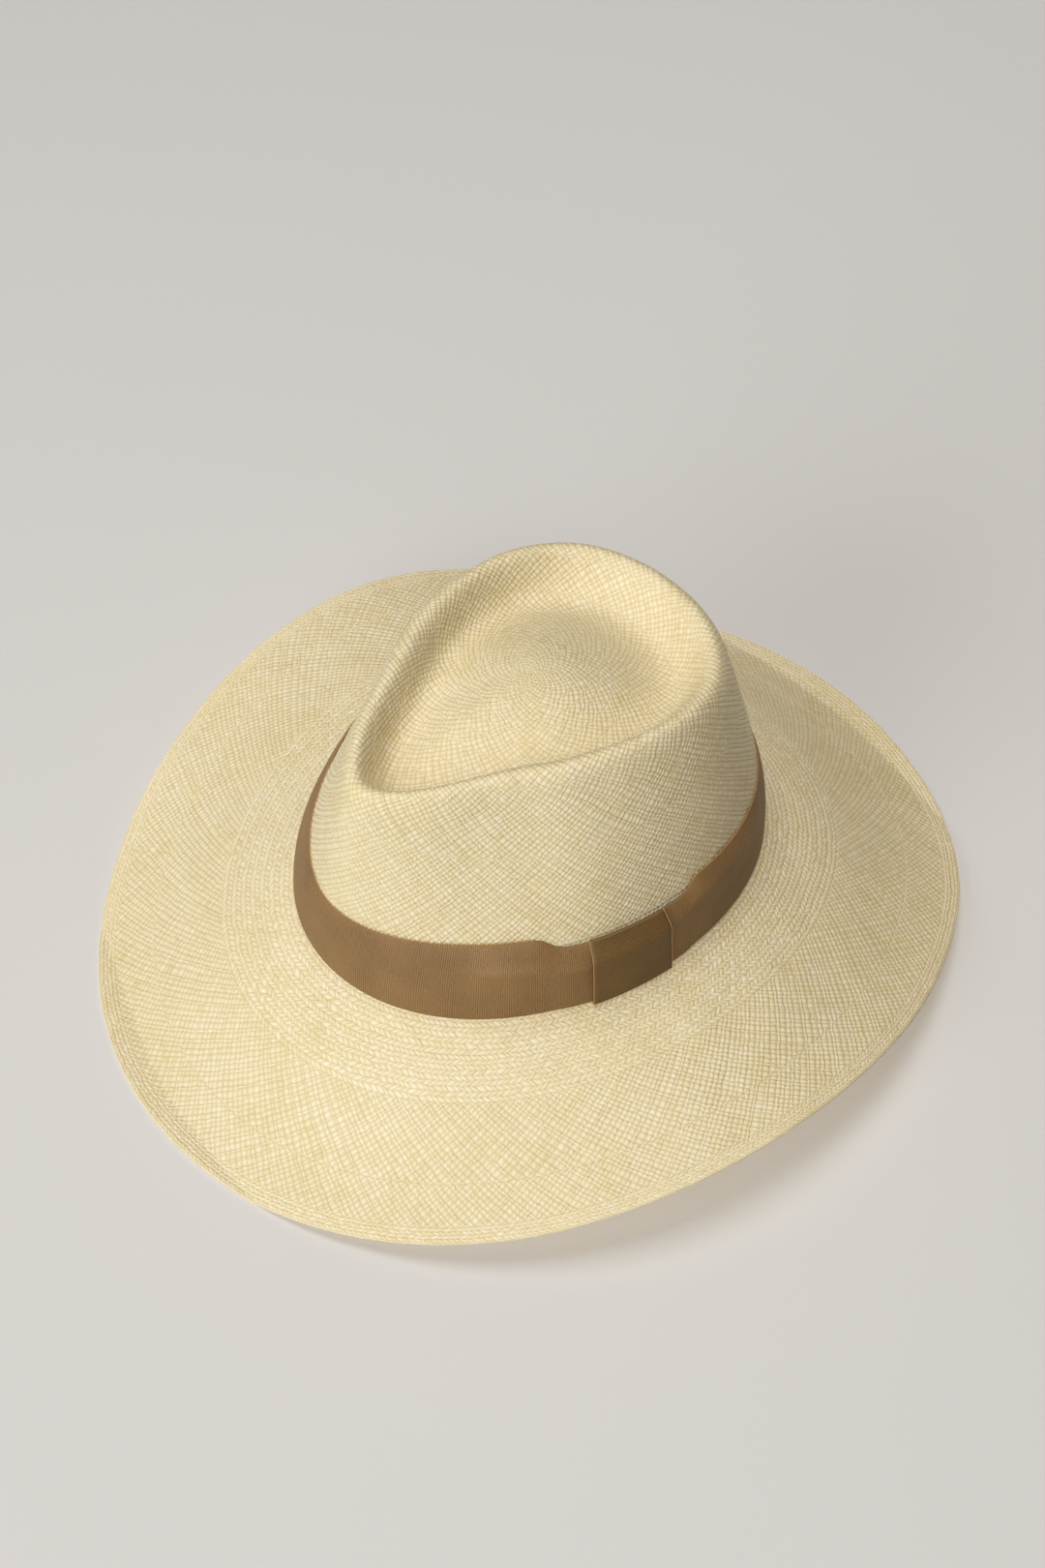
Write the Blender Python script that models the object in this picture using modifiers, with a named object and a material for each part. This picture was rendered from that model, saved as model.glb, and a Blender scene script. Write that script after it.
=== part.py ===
"""Panama hat: a woven straw body with a ribbon band and keeper outside and a leather sweatband inside.

Frame: metres, +Z up, the front of the hat faces -Y and the wearer's left is +X. The hat rests on its
brim at Z = 0, with the origin under the middle of its box.
"""

import math

import bmesh
import bpy
import numpy as np
from mathutils import Vector

MM = 0.001

# Crown foot: the oval where the brim turns up into the crown, outer face of the straw.
FOOT_HALF_WIDTH = 85.0
FOOT_HALF_LENGTH = 104.6
FOOT_HEIGHT = 46.0
FOOT_RISE_AT_SIDES = 2.5
FOOT_DROP_AT_BACK = 2.7

# Brim edge.
BRIM_WIDTH = 84.2
BRIM_WIDER_AT_BACK = 1.8
BRIM_SHIFT_FORWARD = 2.3
BRIM_SIDE_LIFT = 18.1
BRIM_DIAGONAL_DIP = 4.5
BRIM_TWIST = 4.0
BRIM_RIPPLE = 2.0
BRIM_REAR_LIFT = 8.0
BRIM_REAR_LIFT_AT = 246.0
BRIM_PRESS = 2.6
BRIM_BOW = 0.05
# The hand-trimmed edge strays from a true oval by these waves: how many round, how deep, and where.
BRIM_STRAY = ((0, 1.3, 0.0), (1, 1.8, -114.0), (2, 1.0, -125.0), (4, 0.7, -120.0))
BRIM_BULGE = 2.4
BRIM_BULGE_AT = 150.0

STRAW = 1.2

# Crown top: the crest of the teardrop crease and the groove inside it, by direction from the front.
DIRECTIONS = (0, 8, 17, 32, 50, 80, 100, 120, 139, 156, 180)
CREST_RADIUS = (90.5, 79.5, 71.0, 58.0, 52.0, 52.0, 56.2, 64.5, 73.0, 75.5, 75.8)
CREST_HEIGHT = (142.0, 144.5, 147.5, 151.0, 153.0, 154.5, 154.5, 153.5, 151.5, 150.0, 149.0)
GROOVE_INSET = (20.0, 19.5, 18.5, 17.0, 16.0, 16.0, 17.0, 19.0, 20.5, 21.0, 21.5)
GROOVE_HEIGHT = (131.0, 132.0, 134.0, 137.0, 139.5, 140.5, 140.0, 138.5, 137.0, 136.0, 135.5)
DOME_HEIGHT = 151.5
SIDE_DENT = 3.0
SIDE_DENT_AT = 42.0
SMOOTHING = 9.0

# Hatband and keeper, both cut from the same ribbon.
RIBBON_WIDTH = 35.0
RIBBON = 0.5
BAND_OFF_STRAW = 1.0
BAND_LIFT = 2.2
LAP = 13.0
KEEPER_AT = 79.8
KEEPER_WIDTH = 35.0
PINCH = 4.5
GAP = 0.3

# Sweatband and what is sewn to it, as distances in from the outer face of the straw.
SWEAT_IN = 2.6
LEATHER = 0.9
SWEAT_BOTTOM = 2.9
SWEAT_TOP = 34.0
REED = 1.5
REED_IN = 3.05
REED_LIFT = 1.7
TAPE = 0.3
THREAD = 0.4

ROUND = 64


def fresh_collection(name):
    """Empties the scene and returns a new collection under the scene's own."""
    for old in list(bpy.data.objects):
        bpy.data.objects.remove(old, do_unlink=True)
    made = bpy.data.collections.new(name)
    bpy.context.scene.collection.children.link(made)
    return made


def linear(hex_colour):
    """Turns an sRGB hex colour into the linear numbers a shader takes."""
    parts = [int(hex_colour[i : i + 2], 16) / 255 for i in (1, 3, 5)]
    return tuple(p / 12.92 if p <= 0.04045 else ((p + 0.055) / 1.055) ** 2.4 for p in parts)


def material(name, hex_colour, roughness, metallic=0.0):
    """Makes a plain Principled material."""
    made = bpy.data.materials.new(name)
    made.use_nodes = True
    shader = made.node_tree.nodes["Principled BSDF"]
    shader.inputs["Base Color"].default_value = (*linear(hex_colour), 1.0)
    shader.inputs["Roughness"].default_value = roughness
    shader.inputs["Metallic"].default_value = metallic
    return made


def angle_apart(a, b):
    """The angle between two directions, in degrees, from -180 to 180."""
    return (a - b + 180) % 360 - 180


def bump(x, flat, edge):
    """1 within flat of zero, falling smoothly to 0 over edge."""
    t = min(max((abs(x) - flat) / edge, 0.0), 1.0)
    return 1 - t * t * (3 - 2 * t)


def even(values):
    """A smooth curve over all directions, in degrees, that is the same left and right of the front."""
    table = np.interp(np.arange(0, 181), DIRECTIONS, values)
    full = np.concatenate([table, table[-2:0:-1]])
    weights = np.exp(-0.5 * (np.arange(-30, 31) / (SMOOTHING / 1.6)) ** 2)
    weights /= weights.sum()
    return np.convolve(np.concatenate([full[-30:], full, full[:30]]), weights, mode="valid")


CREST_R, CREST_Z = even(CREST_RADIUS), even(CREST_HEIGHT)
INSET, GROOVE_Z = even(GROOVE_INSET), even(GROOVE_HEIGHT)


def at_direction(curve, degrees):
    """Reads one of the smooth curves at any direction."""
    return float(np.interp(degrees % 360, np.arange(361), np.append(curve, curve[0])))


def oval(degrees, half_width, half_length):
    """The radius of an oval in one direction, which is measured from the front towards the left."""
    a = math.radians(degrees)
    return 1 / math.hypot(math.sin(a) / half_width, math.cos(a) / half_length)


def foot(degrees):
    """The crown foot's radius and height in one direction."""
    a = math.radians(degrees - 90)
    height = FOOT_HEIGHT + FOOT_RISE_AT_SIDES * math.cos(2 * a) - FOOT_DROP_AT_BACK * math.sin(a)
    return oval(degrees, FOOT_HALF_WIDTH, FOOT_HALF_LENGTH), height


def brim_edge(degrees):
    """The brim edge's radius and the height of its upper face in one direction."""
    a = math.radians(degrees - 90)
    width = BRIM_WIDTH + BRIM_WIDER_AT_BACK * math.sin(a)
    radius = oval(degrees, FOOT_HALF_WIDTH + width, FOOT_HALF_LENGTH + width)
    radius -= BRIM_SHIFT_FORWARD * math.sin(a)
    for waves, depth, where in BRIM_STRAY:
        radius += depth * math.cos(math.radians(waves * degrees - where))
    radius += BRIM_BULGE * bump(angle_apart(degrees, BRIM_BULGE_AT), 0.0, 24.0)
    height = BRIM_SIDE_LIFT * (1 + math.cos(2 * a))
    height -= BRIM_DIAGONAL_DIP * (1 - math.cos(4 * a)) / 2
    height -= BRIM_TWIST * math.sin(a) * math.cos(a)
    height -= BRIM_RIPPLE * math.cos(3 * a)
    height += BRIM_REAR_LIFT * bump(angle_apart(degrees, BRIM_REAR_LIFT_AT), 0.0, 46.0)
    return radius, height - BRIM_PRESS


def control_points(degrees):
    """The points that steer the hat's section in one direction, from the crown's middle to the brim's edge."""
    crest_r, crest_z = at_direction(CREST_R, degrees), at_direction(CREST_Z, degrees)
    groove_r = crest_r - at_direction(INSET, degrees)
    groove_z = at_direction(GROOVE_Z, degrees)
    foot_r, foot_z = foot(degrees)
    edge_r, edge_z = brim_edge(degrees)
    shoulder_r, shoulder_z = crest_r + 6.5, crest_z - 9.0
    points = [
        (0.0, DOME_HEIGHT),
        (0.22 * groove_r, DOME_HEIGHT),
        (0.55 * groove_r, groove_z + 0.66 * (DOME_HEIGHT - groove_z)),
        (0.84 * groove_r, groove_z + 0.16 * (DOME_HEIGHT - groove_z)),
        (groove_r + 1.0, groove_z - 0.8),
        (groove_r + 0.42 * (crest_r - groove_r), groove_z + 0.12 * (crest_z - groove_z)),
        (crest_r - 6.0, crest_z - 2.6),
        (crest_r - 2.6, crest_z + 1.7),
        (crest_r + 2.6, crest_z + 1.2),
        (shoulder_r, shoulder_z),
    ]
    side = min(abs(angle_apart(degrees, SIDE_DENT_AT)), abs(angle_apart(degrees, -SIDE_DENT_AT)))
    dent = SIDE_DENT * bump(side, 4.0, 30.0)
    for part, lean, dip in ((0.2, 0.28, 0.7), (0.45, 0.6, 1.0), (0.7, 0.85, 0.4), (0.87, 0.97, 0.0)):
        r = shoulder_r + lean * (foot_r - shoulder_r) - dip * dent
        points.append((r, shoulder_z + part * (foot_z - shoulder_z)))
    points += [(foot_r, foot_z + 3.5), (foot_r + 0.4, foot_z + 0.2), (foot_r + 4.0, foot_z - 0.8)]
    for part in (0.12, 0.25, 0.42, 0.6, 0.78, 0.9, 1.0):
        fall = part - BRIM_BOW * math.sin(2 * math.pi * part)
        z = foot_z - 1.0 + fall * (edge_z - foot_z + 1.0)
        points.append((foot_r + part * (edge_r - foot_r), z))
    return points


def spline(points, samples):
    """Samples a clamped cubic B-spline at parameters from 0 to 1."""
    p = np.array([points[0], points[0], *points, points[-1], points[-1]])
    spans = len(p) - 3
    t = np.clip(np.asarray(samples) * spans, 0, spans - 1e-9)
    i = t.astype(int)
    u = (t - i)[:, None]
    return (
        (1 - u) ** 3 * p[i]
        + (3 * u**3 - 6 * u**2 + 4) * p[i + 1]
        + (-3 * u**3 + 3 * u**2 + 3 * u + 1) * p[i + 2]
        + u**3 * p[i + 3]
    ) / 6


def section(degrees, samples):
    """The hat's section in one direction: radius and height of the straw's outer face in millimetres."""
    rz = spline(control_points(degrees), samples)
    z = rz[:, 1]
    # The low parts of the brim are pressed flat by the table they rest on.
    rz[:, 1] = np.where(rz[:, 0] > FOOT_HALF_WIDTH, np.maximum(z, STRAW), z)
    return rz


FINE = np.linspace(0, 1, 1601)


def wall(degrees):
    """The crown's outer wall in one direction, as heights going up and the radius at each."""
    rz = section(degrees, FINE)
    foot_r, foot_z = foot(degrees)
    crest_z = at_direction(CREST_Z, degrees)
    top = int(np.argmax(np.where(rz[:, 0] > at_direction(CREST_R, degrees), rz[:, 1], -1)))
    side = rz[top:]
    side = side[(side[:, 1] > foot_z - 0.4) & (side[:, 0] < foot_r + 6)][::-1]
    return side[:, 1], side[:, 0], foot_z, crest_z


def middle_of_brim():
    """How far the middle of the brim's box lies from the crown's axis, in millimetres."""
    turns = [math.radians(d) for d in range(0, 360, 2)]
    radii = [brim_edge(math.degrees(a))[0] for a in turns]
    xs = [r * math.sin(a) for r, a in zip(radii, turns)]
    ys = [-r * math.cos(a) for r, a in zip(radii, turns)]
    return (max(xs) + min(xs)) / 2, (max(ys) + min(ys)) / 2


MIDDLE_X, MIDDLE_Y = middle_of_brim()


def place(degrees, radius, height):
    """A point in metres from a direction, a radius and a height in millimetres."""
    a = math.radians(degrees)
    return Vector((math.sin(a) * radius - MIDDLE_X, -math.cos(a) * radius - MIDDLE_Y, height)) * MM


def surface(name, rows, collection, mat, ring):
    """Makes an open surface from rows of points, closed round into a ring or not."""
    mesh = bpy.data.meshes.new(name)
    made = bpy.data.objects.new(name, mesh)
    collection.objects.link(made)
    bm = bmesh.new()
    grid = [[bm.verts.new(p) for p in row] for row in rows]
    count = len(grid)
    for i in range(count if ring else count - 1):
        one, other = grid[i], grid[(i + 1) % count]
        for j in range(len(one) - 1):
            bm.faces.new((one[j], one[j + 1], other[j + 1], other[j]))
    bm.to_mesh(mesh)
    bm.free()
    mesh.materials.append(mat)
    return made


def turn_faces(made, outward):
    """Makes every face point away from the hat's axis, or towards it."""
    bm = bmesh.new()
    bm.from_mesh(made.data)
    bmesh.ops.recalc_face_normals(bm, faces=bm.faces)
    face = bm.faces[:][len(bm.faces) // 3]
    centre = face.calc_center_median()
    away = centre.x * face.normal.x + centre.y * face.normal.y > 0
    if away != outward:
        bmesh.ops.reverse_faces(bm, faces=bm.faces)
    bm.to_mesh(made.data)
    bm.free()


def solidify(made, thickness, offset):
    """Gives an open surface its thickness."""
    step = made.modifiers.new("thickness", "SOLIDIFY")
    step.thickness = thickness * MM
    step.offset = offset
    step.use_even_offset = True
    return step


def straw_samples():
    """Where the straw body's rings sit along its section, closer together at the crest and the foot."""
    stops = (0.0, 0.2, 0.42, 0.62, 0.72, 1.0)
    counts = (6, 10, 5, 6, 6)
    parts = []
    for low, high, count in zip(stops, stops[1:], counts):
        parts.append(np.linspace(low, high, count, endpoint=False))
    return np.append(np.concatenate(parts), 1.0)


def ring_directions():
    """The directions of the straw body's sections, closer together round the pinched front."""
    even_steps = np.arange(ROUND) / ROUND
    return [360 * t - 12.0 * math.sin(2 * math.pi * t) for t in even_steps]


def straw_body(collection, mat):
    """The crown and brim, which are one weave and so one piece."""
    rows = []
    samples = straw_samples()[1:]
    for degrees in ring_directions():
        rows.append([place(degrees, r, z) for r, z in section(degrees, samples)])
    made = surface("straw_body", rows, collection, mat, ring=True)
    bm = bmesh.new()
    bm.from_mesh(made.data)
    middle = bm.verts.new(place(0, 0, DOME_HEIGHT))
    first = [e for e in bm.edges if e.is_boundary and max(v.co.xy.length for v in e.verts) < 0.03]
    for edge in first:
        bm.faces.new((edge.verts[0], edge.verts[1], middle))
    bmesh.ops.recalc_face_normals(bm, faces=bm.faces)
    top = max(bm.faces, key=lambda f: f.calc_center_median().z)
    if top.normal.z < 0:
        bmesh.ops.reverse_faces(bm, faces=bm.faces)
    bm.to_mesh(made.data)
    bm.free()
    solidify(made, STRAW, -1.0)
    # The underside is trimmed level where the brim lies on the table.
    whole = bpy.data.meshes.new_from_object(made.evaluated_get(bpy.context.evaluated_depsgraph_get()))
    made.modifiers.clear()
    made.data = whole
    for vertex in whole.vertices:
        if vertex.co.z < 0.0003:
            vertex.co.z = 0.0
    return made


def band_depth(degrees):
    """How far the inside of the hatband stands off the straw, which is more where the keeper passes behind."""
    return BAND_OFF_STRAW + 0.75 * bump(angle_apart(degrees, KEEPER_AT), 15.5, 8.0)


def band_top(degrees):
    """The height of the hatband's top edge above the crown foot, lower where the keeper pinches it."""
    return BAND_LIFT + RIBBON_WIDTH - PINCH * bump(angle_apart(degrees, KEEPER_AT), 19.0, 8.0)


def on_wall(degrees, height, off):
    """A point a given height above the crown foot and a given distance out from the straw's outer face."""
    zs, rs, foot_z, _ = wall(degrees)
    return place(degrees, float(np.interp(foot_z + height, zs, rs)) + off, foot_z + height)


def hatband(collection, mat):
    """One length of ribbon round the crown foot, whose end laps over its start under the keeper."""
    rows = []
    start = KEEPER_AT - LAP / 2
    turn = 360 + LAP
    stops = [(d - start) % 360 for d in ring_directions()]
    stops += [turn - LAP + d for d in (0.0, 3.5, 7.0, 10.0)] + [turn, 0.0, 3.5, 10.0]
    stops += [turn - LAP - d for d in (3.0, 6.0, 12.0, 15.0, 20.0)] + [20.0, 26.0, 32.0]
    for along in sorted({round(stop, 3) for stop in stops}):
        degrees = start + along
        # The end rides up over the start by the ribbon's thickness and a little slack.
        over = min(max((along - (turn - LAP - 9.0)) / 8.0, 0.0), 1.0)
        off = band_depth(degrees) + RIBBON / 2 + (RIBBON + GAP) * over
        top = band_top(degrees)
        heights = np.linspace(BAND_LIFT, top, 5)
        rows.append([on_wall(degrees, h, off) for h in heights])
    made = surface("hatband_ribbon", rows, collection, mat, ring=False)
    turn_faces(made, outward=True)
    solidify(made, RIBBON, 0.0)
    return made


def keeper(collection, mat):
    """A short ribbon wrapped over the lap, in front of the band, over its top edge and down behind it."""
    half = math.degrees(KEEPER_WIDTH / 2 / 86.0)
    rows = []
    for degrees in np.linspace(KEEPER_AT - half, KEEPER_AT + half, 9):
        inside = band_depth(degrees) - GAP - RIBBON / 2
        outside = band_depth(degrees) + 2 * RIBBON + 2 * GAP + RIBBON / 2
        top, bottom = band_top(degrees) + 0.9, BAND_LIFT - 0.9
        middle = (inside + outside) / 2
        reach = (outside - inside) / 2
        loop = []
        for h in np.linspace(bottom + 1.2, top - 1.2, 5):
            loop.append((h, outside))
        for a in (40, 90, 140):
            loop.append((top - 0.7 + 0.7 * math.sin(math.radians(a)), middle + reach * math.cos(math.radians(a))))
        for h in np.linspace(top - 1.2, bottom + 1.2, 5):
            loop.append((h, inside))
        for a in (140, 90, 40):
            loop.append(
                (bottom + 0.7 - 0.7 * math.sin(math.radians(a)), middle + reach * math.cos(math.radians(a)))
            )
        loop.append(loop[0])
        rows.append([on_wall(degrees, h, off) for h, off in loop])
    made = surface("bow_keeper", rows, collection, mat, ring=False)
    bm = bmesh.new()
    bm.from_mesh(made.data)
    bmesh.ops.remove_doubles(bm, verts=bm.verts, dist=1e-6)
    bmesh.ops.recalc_face_normals(bm, faces=bm.faces)
    bm.to_mesh(made.data)
    bm.free()
    solidify(made, RIBBON - 0.1, 0.0)
    return made


def wire(name, points, radius, collection, mat, ring=False, sides=1):
    """A round cord or thread along a line of points."""
    curve = bpy.data.curves.new(name, "CURVE")
    curve.dimensions = "3D"
    curve.bevel_depth = radius * MM
    curve.bevel_resolution = sides
    curve.use_fill_caps = not ring
    line = curve.splines.new("POLY")
    line.points.add(len(points) - 1)
    for point, co in zip(line.points, points):
        point.co = (*co, 1.0)
    line.use_cyclic_u = ring
    made = bpy.data.objects.new(name, curve)
    collection.objects.link(made)
    curve.materials.append(mat)
    return made


def inner_wall(degrees, height, depth):
    """A point inside the crown, a given distance in from the straw's outer face."""
    return on_wall(degrees, height, -depth)


def sweatband(collection, mat):
    """The leather strip that lines the crown opening, its two ends butted together at the back."""
    rows = []
    turns = [180.4] + sorted(d % 360 + 360 * (d % 360 < 180.4) for d in ring_directions())
    turns = [d for d in turns if d < 539.0] + [539.6]
    for degrees in turns:
        heights = np.linspace(SWEAT_BOTTOM, SWEAT_TOP, 4)
        rows.append([inner_wall(degrees, h, SWEAT_IN + LEATHER / 2) for h in heights])
    made = surface("sweatband_leather", rows, collection, mat, ring=False)
    turn_faces(made, outward=True)
    solidify(made, LEATHER, 0.0)
    return made


def reed(collection, mat):
    """The plastic cord that stiffens the sweatband's lower edge."""
    points = [inner_wall(d, REED_LIFT, REED_IN) for d in ring_directions()]
    return wire("sweatband_reed", points, REED / 2, collection, mat, ring=True)


def reed_tape(collection, mat):
    """The cloth strip folded under the reed, one leg behind the leather and the other in front of the reed."""
    rows = []
    reach = REED / 2 + GAP + TAPE / 2
    for degrees in ring_directions():
        section_points = [(9.0, REED_IN - reach)]
        section_points.append((REED_LIFT + 0.2, REED_IN - reach))
        for a in (225, 270, 315):
            up, across = math.sin(math.radians(a)) * reach, math.cos(math.radians(a)) * reach
            section_points.append((REED_LIFT + up, REED_IN + across))
        section_points.append((REED_LIFT + 0.2, REED_IN + reach))
        section_points.append((REED_LIFT + 0.9, REED_IN + reach))
        rows.append([inner_wall(degrees, h, d) for h, d in section_points])
    made = surface("reed_tape", rows, collection, mat, ring=True)
    turn_faces(made, outward=True)
    solidify(made, TAPE, 0.0)
    return made


def thread_ring(name, height, depth, wave, collection, mat):
    """One continuous stitching thread round the crown, dipping a little at each stitch."""
    points = []
    for i, degrees in enumerate(ring_directions()):
        lift = wave if i % 2 else -wave
        points.append(inner_wall(degrees, height + lift, depth))
    return wire(name, points, THREAD / 2, collection, mat, ring=True)


def rear_seam(collection, mat):
    """The zigzag thread that closes the sweatband's two ends."""
    points = []
    depth = SWEAT_IN + LEATHER + GAP + THREAD / 2
    for i, height in enumerate(np.linspace(SWEAT_BOTTOM + 1.2, SWEAT_TOP - 1.5, 16)):
        points.append(inner_wall(180 + (0.9 if i % 2 else -0.9), height, depth))
    return wire("rear_seam_thread", points, THREAD / 2, collection, mat)


def small_bow(collection, mat):
    """The little flat ribbon bow glued over the foot of the rear seam, and its knot."""
    depth = SWEAT_IN + LEATHER + GAP + THREAD + GAP
    centre = inner_wall(180, 12.0, depth)
    outline = []
    for i in range(48):
        a = 2 * math.pi * i / 48
        x = 13.0 * math.cos(a)
        z = (1.9 + 3.6 * abs(math.cos(a)) ** 1.5) * math.sin(a)
        outline.append((x, z))
    curve = bpy.data.curves.new("rear_bow_loops", "CURVE")
    curve.dimensions = "2D"
    curve.fill_mode = "BOTH"
    curve.extrude = 0.4 * MM
    line = curve.splines.new("POLY")
    line.points.add(len(outline) - 1)
    for point, (x, z) in zip(line.points, outline):
        point.co = (x * MM, z * MM, 0, 1)
    line.use_cyclic_u = True
    loops = bpy.data.objects.new("rear_bow_loops", curve)
    loops.location = centre + Vector((0, -1.1 * MM, 0))
    loops.rotation_euler = (math.radians(90), 0, 0)
    collection.objects.link(loops)
    curve.materials.append(mat)
    whole = bpy.data.meshes.new_from_object(loops.evaluated_get(bpy.context.evaluated_depsgraph_get()))
    bm = bmesh.new()
    bm.from_mesh(whole)
    bmesh.ops.remove_doubles(bm, verts=bm.verts, dist=1e-6)
    bmesh.ops.recalc_face_normals(bm, faces=bm.faces)
    bm.to_mesh(whole)
    bm.free()
    spot, turn = loops.location.copy(), loops.rotation_euler.copy()
    bpy.data.objects.remove(loops, do_unlink=True)
    loops = bpy.data.objects.new("rear_bow_loops", whole)
    loops.location, loops.rotation_euler = spot, turn
    collection.objects.link(loops)
    if not whole.materials:
        whole.materials.append(mat)

    knot_points = []
    for i in range(12):
        a = 2 * math.pi * i / 12
        knot_points.append((1.1 * math.cos(a), 2.85 * math.sin(a)))
    rows = []
    for x in (-2.2, 2.2):
        rows.append([spot + Vector((x, y, z)) * MM for y, z in knot_points])
    knot = surface("rear_bow_knot", [row + row[:1] for row in rows], collection, mat, ring=False)
    bm = bmesh.new()
    bm.from_mesh(knot.data)
    bmesh.ops.remove_doubles(bm, verts=bm.verts, dist=1e-6)
    bmesh.ops.recalc_face_normals(bm, faces=bm.faces)
    bm.to_mesh(knot.data)
    bm.free()
    solidify(knot, 0.35, 0.0)
    return loops, knot


def size_tag(collection, mat):
    """A small blank woven tag held behind the sweatband, left of the rear seam."""
    rows = []
    for degrees in np.linspace(160, 168, 5):
        rows.append([inner_wall(degrees, h, 2.0) for h in (11.0, 18.0, 25.0)])
    made = surface("size_tag", rows, collection, mat, ring=False)
    turn_faces(made, outward=True)
    solidify(made, 0.3, 0.0)
    return made


def tack(name, degrees, height, depth, collection, mat, upright):
    """The bar of one hand stitch, lying along or up the wall."""
    points = []
    for part in (-1.0, -0.5, 0.0, 0.5, 1.0):
        sink = 0.12 * (1 - part * part)
        if upright:
            points.append(inner_wall(degrees, height + 1.6 * part, depth + sink))
        else:
            points.append(inner_wall(degrees + 1.2 * part, height, depth + sink))
    return wire(name, points, THREAD / 2, collection, mat)


def build():
    collection = fresh_collection("panama_hat")
    straw = material("toquilla_straw", "#dccb95", 0.55)
    ribbon = material("grosgrain_ribbon", "#7d6342", 0.75)
    leather = material("sweatband_leather", "#b08a5e", 0.5)
    plastic = material("reed_plastic", "#e8e4d8", 0.4)
    cloth = material("cotton_tape", "#d8cdb2", 0.85)
    thread = material("sewing_thread", "#c9b890", 0.8)
    bow_cloth = material("bow_ribbon", "#6b5537", 0.7)
    tag_cloth = material("tag_cloth", "#efeadd", 0.85)

    straw_body(collection, straw)
    hatband(collection, ribbon)
    keeper(collection, ribbon)
    sweatband(collection, leather)
    reed(collection, plastic)
    reed_tape(collection, cloth)
    tape_face = REED_IN + REED / 2 + GAP + TAPE + 0.3 + THREAD / 2
    thread_ring("reed_tape_seam", REED_LIFT, tape_face, 0.12, collection, thread)
    thread_ring("sweatband_seam", 5.0, -(0.32 + THREAD / 2), 0.15, collection, thread)
    rear_seam(collection, thread)
    small_bow(collection, bow_cloth)
    size_tag(collection, tag_cloth)
    for number, degrees in enumerate((2.0, 178.0, 268.0, 100.0), 1):
        tack(f"hatband_tack_{number}", degrees, 30.0, 1.75, collection, thread, upright=False)
    for number, height in enumerate((14.0, 27.0), 1):
        tack(f"keeper_stitch_{number}", KEEPER_AT, height, 1.75, collection, thread, upright=True)


build()
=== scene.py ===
import functools
import math

import bpy
import numpy as np
from bpy.props import FloatProperty, FloatVectorProperty, PointerProperty
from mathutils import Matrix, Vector


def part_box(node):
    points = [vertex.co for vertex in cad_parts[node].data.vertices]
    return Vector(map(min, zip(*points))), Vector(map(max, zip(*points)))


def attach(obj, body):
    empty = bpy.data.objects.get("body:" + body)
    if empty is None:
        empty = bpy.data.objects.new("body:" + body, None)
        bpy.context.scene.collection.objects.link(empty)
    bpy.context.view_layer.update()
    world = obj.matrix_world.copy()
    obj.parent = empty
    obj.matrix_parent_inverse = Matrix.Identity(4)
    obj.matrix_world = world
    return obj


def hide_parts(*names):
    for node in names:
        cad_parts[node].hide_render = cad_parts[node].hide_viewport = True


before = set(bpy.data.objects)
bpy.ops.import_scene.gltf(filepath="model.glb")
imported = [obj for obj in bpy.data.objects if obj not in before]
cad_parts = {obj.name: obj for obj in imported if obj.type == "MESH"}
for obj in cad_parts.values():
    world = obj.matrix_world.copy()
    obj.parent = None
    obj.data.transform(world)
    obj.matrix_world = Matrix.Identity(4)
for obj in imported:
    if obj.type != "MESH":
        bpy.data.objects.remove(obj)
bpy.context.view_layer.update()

bl_info = {
    "name": "Panama Hat Maker",
    "version": (1, 0, 0),
    "blender": (4, 5, 0),
    "location": "3D View > Sidebar > Hat",
    "description": "Weaves, trims and lines a Panama hat round its packed frame",
    "category": "Add Mesh",
}

MM = 0.001

# ---------------------------------------------------------------- the blocked shape of the hat
# Everything here is in millimetres and repeats the shape that the frame was made with.
# A direction is an angle from the front towards the wearer's left.

FOOT_HALF_WIDTH = 85.0
FOOT_HALF_LENGTH = 104.6
FOOT_HEIGHT = 46.0
FOOT_RISE_AT_SIDES = 2.5
FOOT_DROP_AT_BACK = 2.7

BRIM_WIDTH = 84.2
BRIM_WIDER_AT_BACK = 1.8
BRIM_SHIFT_FORWARD = 2.3
BRIM_SIDE_LIFT = 18.1
BRIM_DIAGONAL_DIP = 4.5
BRIM_TWIST = 4.0
BRIM_RIPPLE = 2.0
BRIM_REAR_LIFT = 8.0
BRIM_REAR_LIFT_AT = 246.0
BRIM_PRESS = 2.6
BRIM_BOW = 0.05
BRIM_STRAY = ((0, 1.3, 0.0), (1, 1.8, -114.0), (2, 1.0, -125.0), (4, 0.7, -120.0))
BRIM_BULGE = 2.4
BRIM_BULGE_AT = 150.0

STRAW = 1.2

DIRECTIONS = (0, 8, 17, 32, 50, 80, 100, 120, 139, 156, 180)
CREST_RADIUS = (90.5, 79.5, 71.0, 58.0, 52.0, 52.0, 56.2, 64.5, 73.0, 75.5, 75.8)
CREST_HEIGHT = (142.0, 144.5, 147.5, 151.0, 153.0, 154.5, 154.5, 153.5, 151.5, 150.0, 149.0)
GROOVE_INSET = (20.0, 19.5, 18.5, 17.0, 16.0, 16.0, 17.0, 19.0, 20.5, 21.0, 21.5)
GROOVE_HEIGHT = (131.0, 132.0, 134.0, 137.0, 139.5, 140.5, 140.0, 138.5, 137.0, 136.0, 135.5)
DOME_HEIGHT = 151.5
SIDE_DENT = 3.0
SIDE_DENT_AT = 42.0
SMOOTHING = 9.0

RIBBON_WIDTH = 35.0
RIBBON = 0.5
BAND_OFF_STRAW = 1.0
BAND_LIFT = 2.2
LAP = 13.0
KEEPER_AT = 79.8
KEEPER_WIDTH = 35.0
PINCH = 4.5
GAP = 0.3

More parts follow.
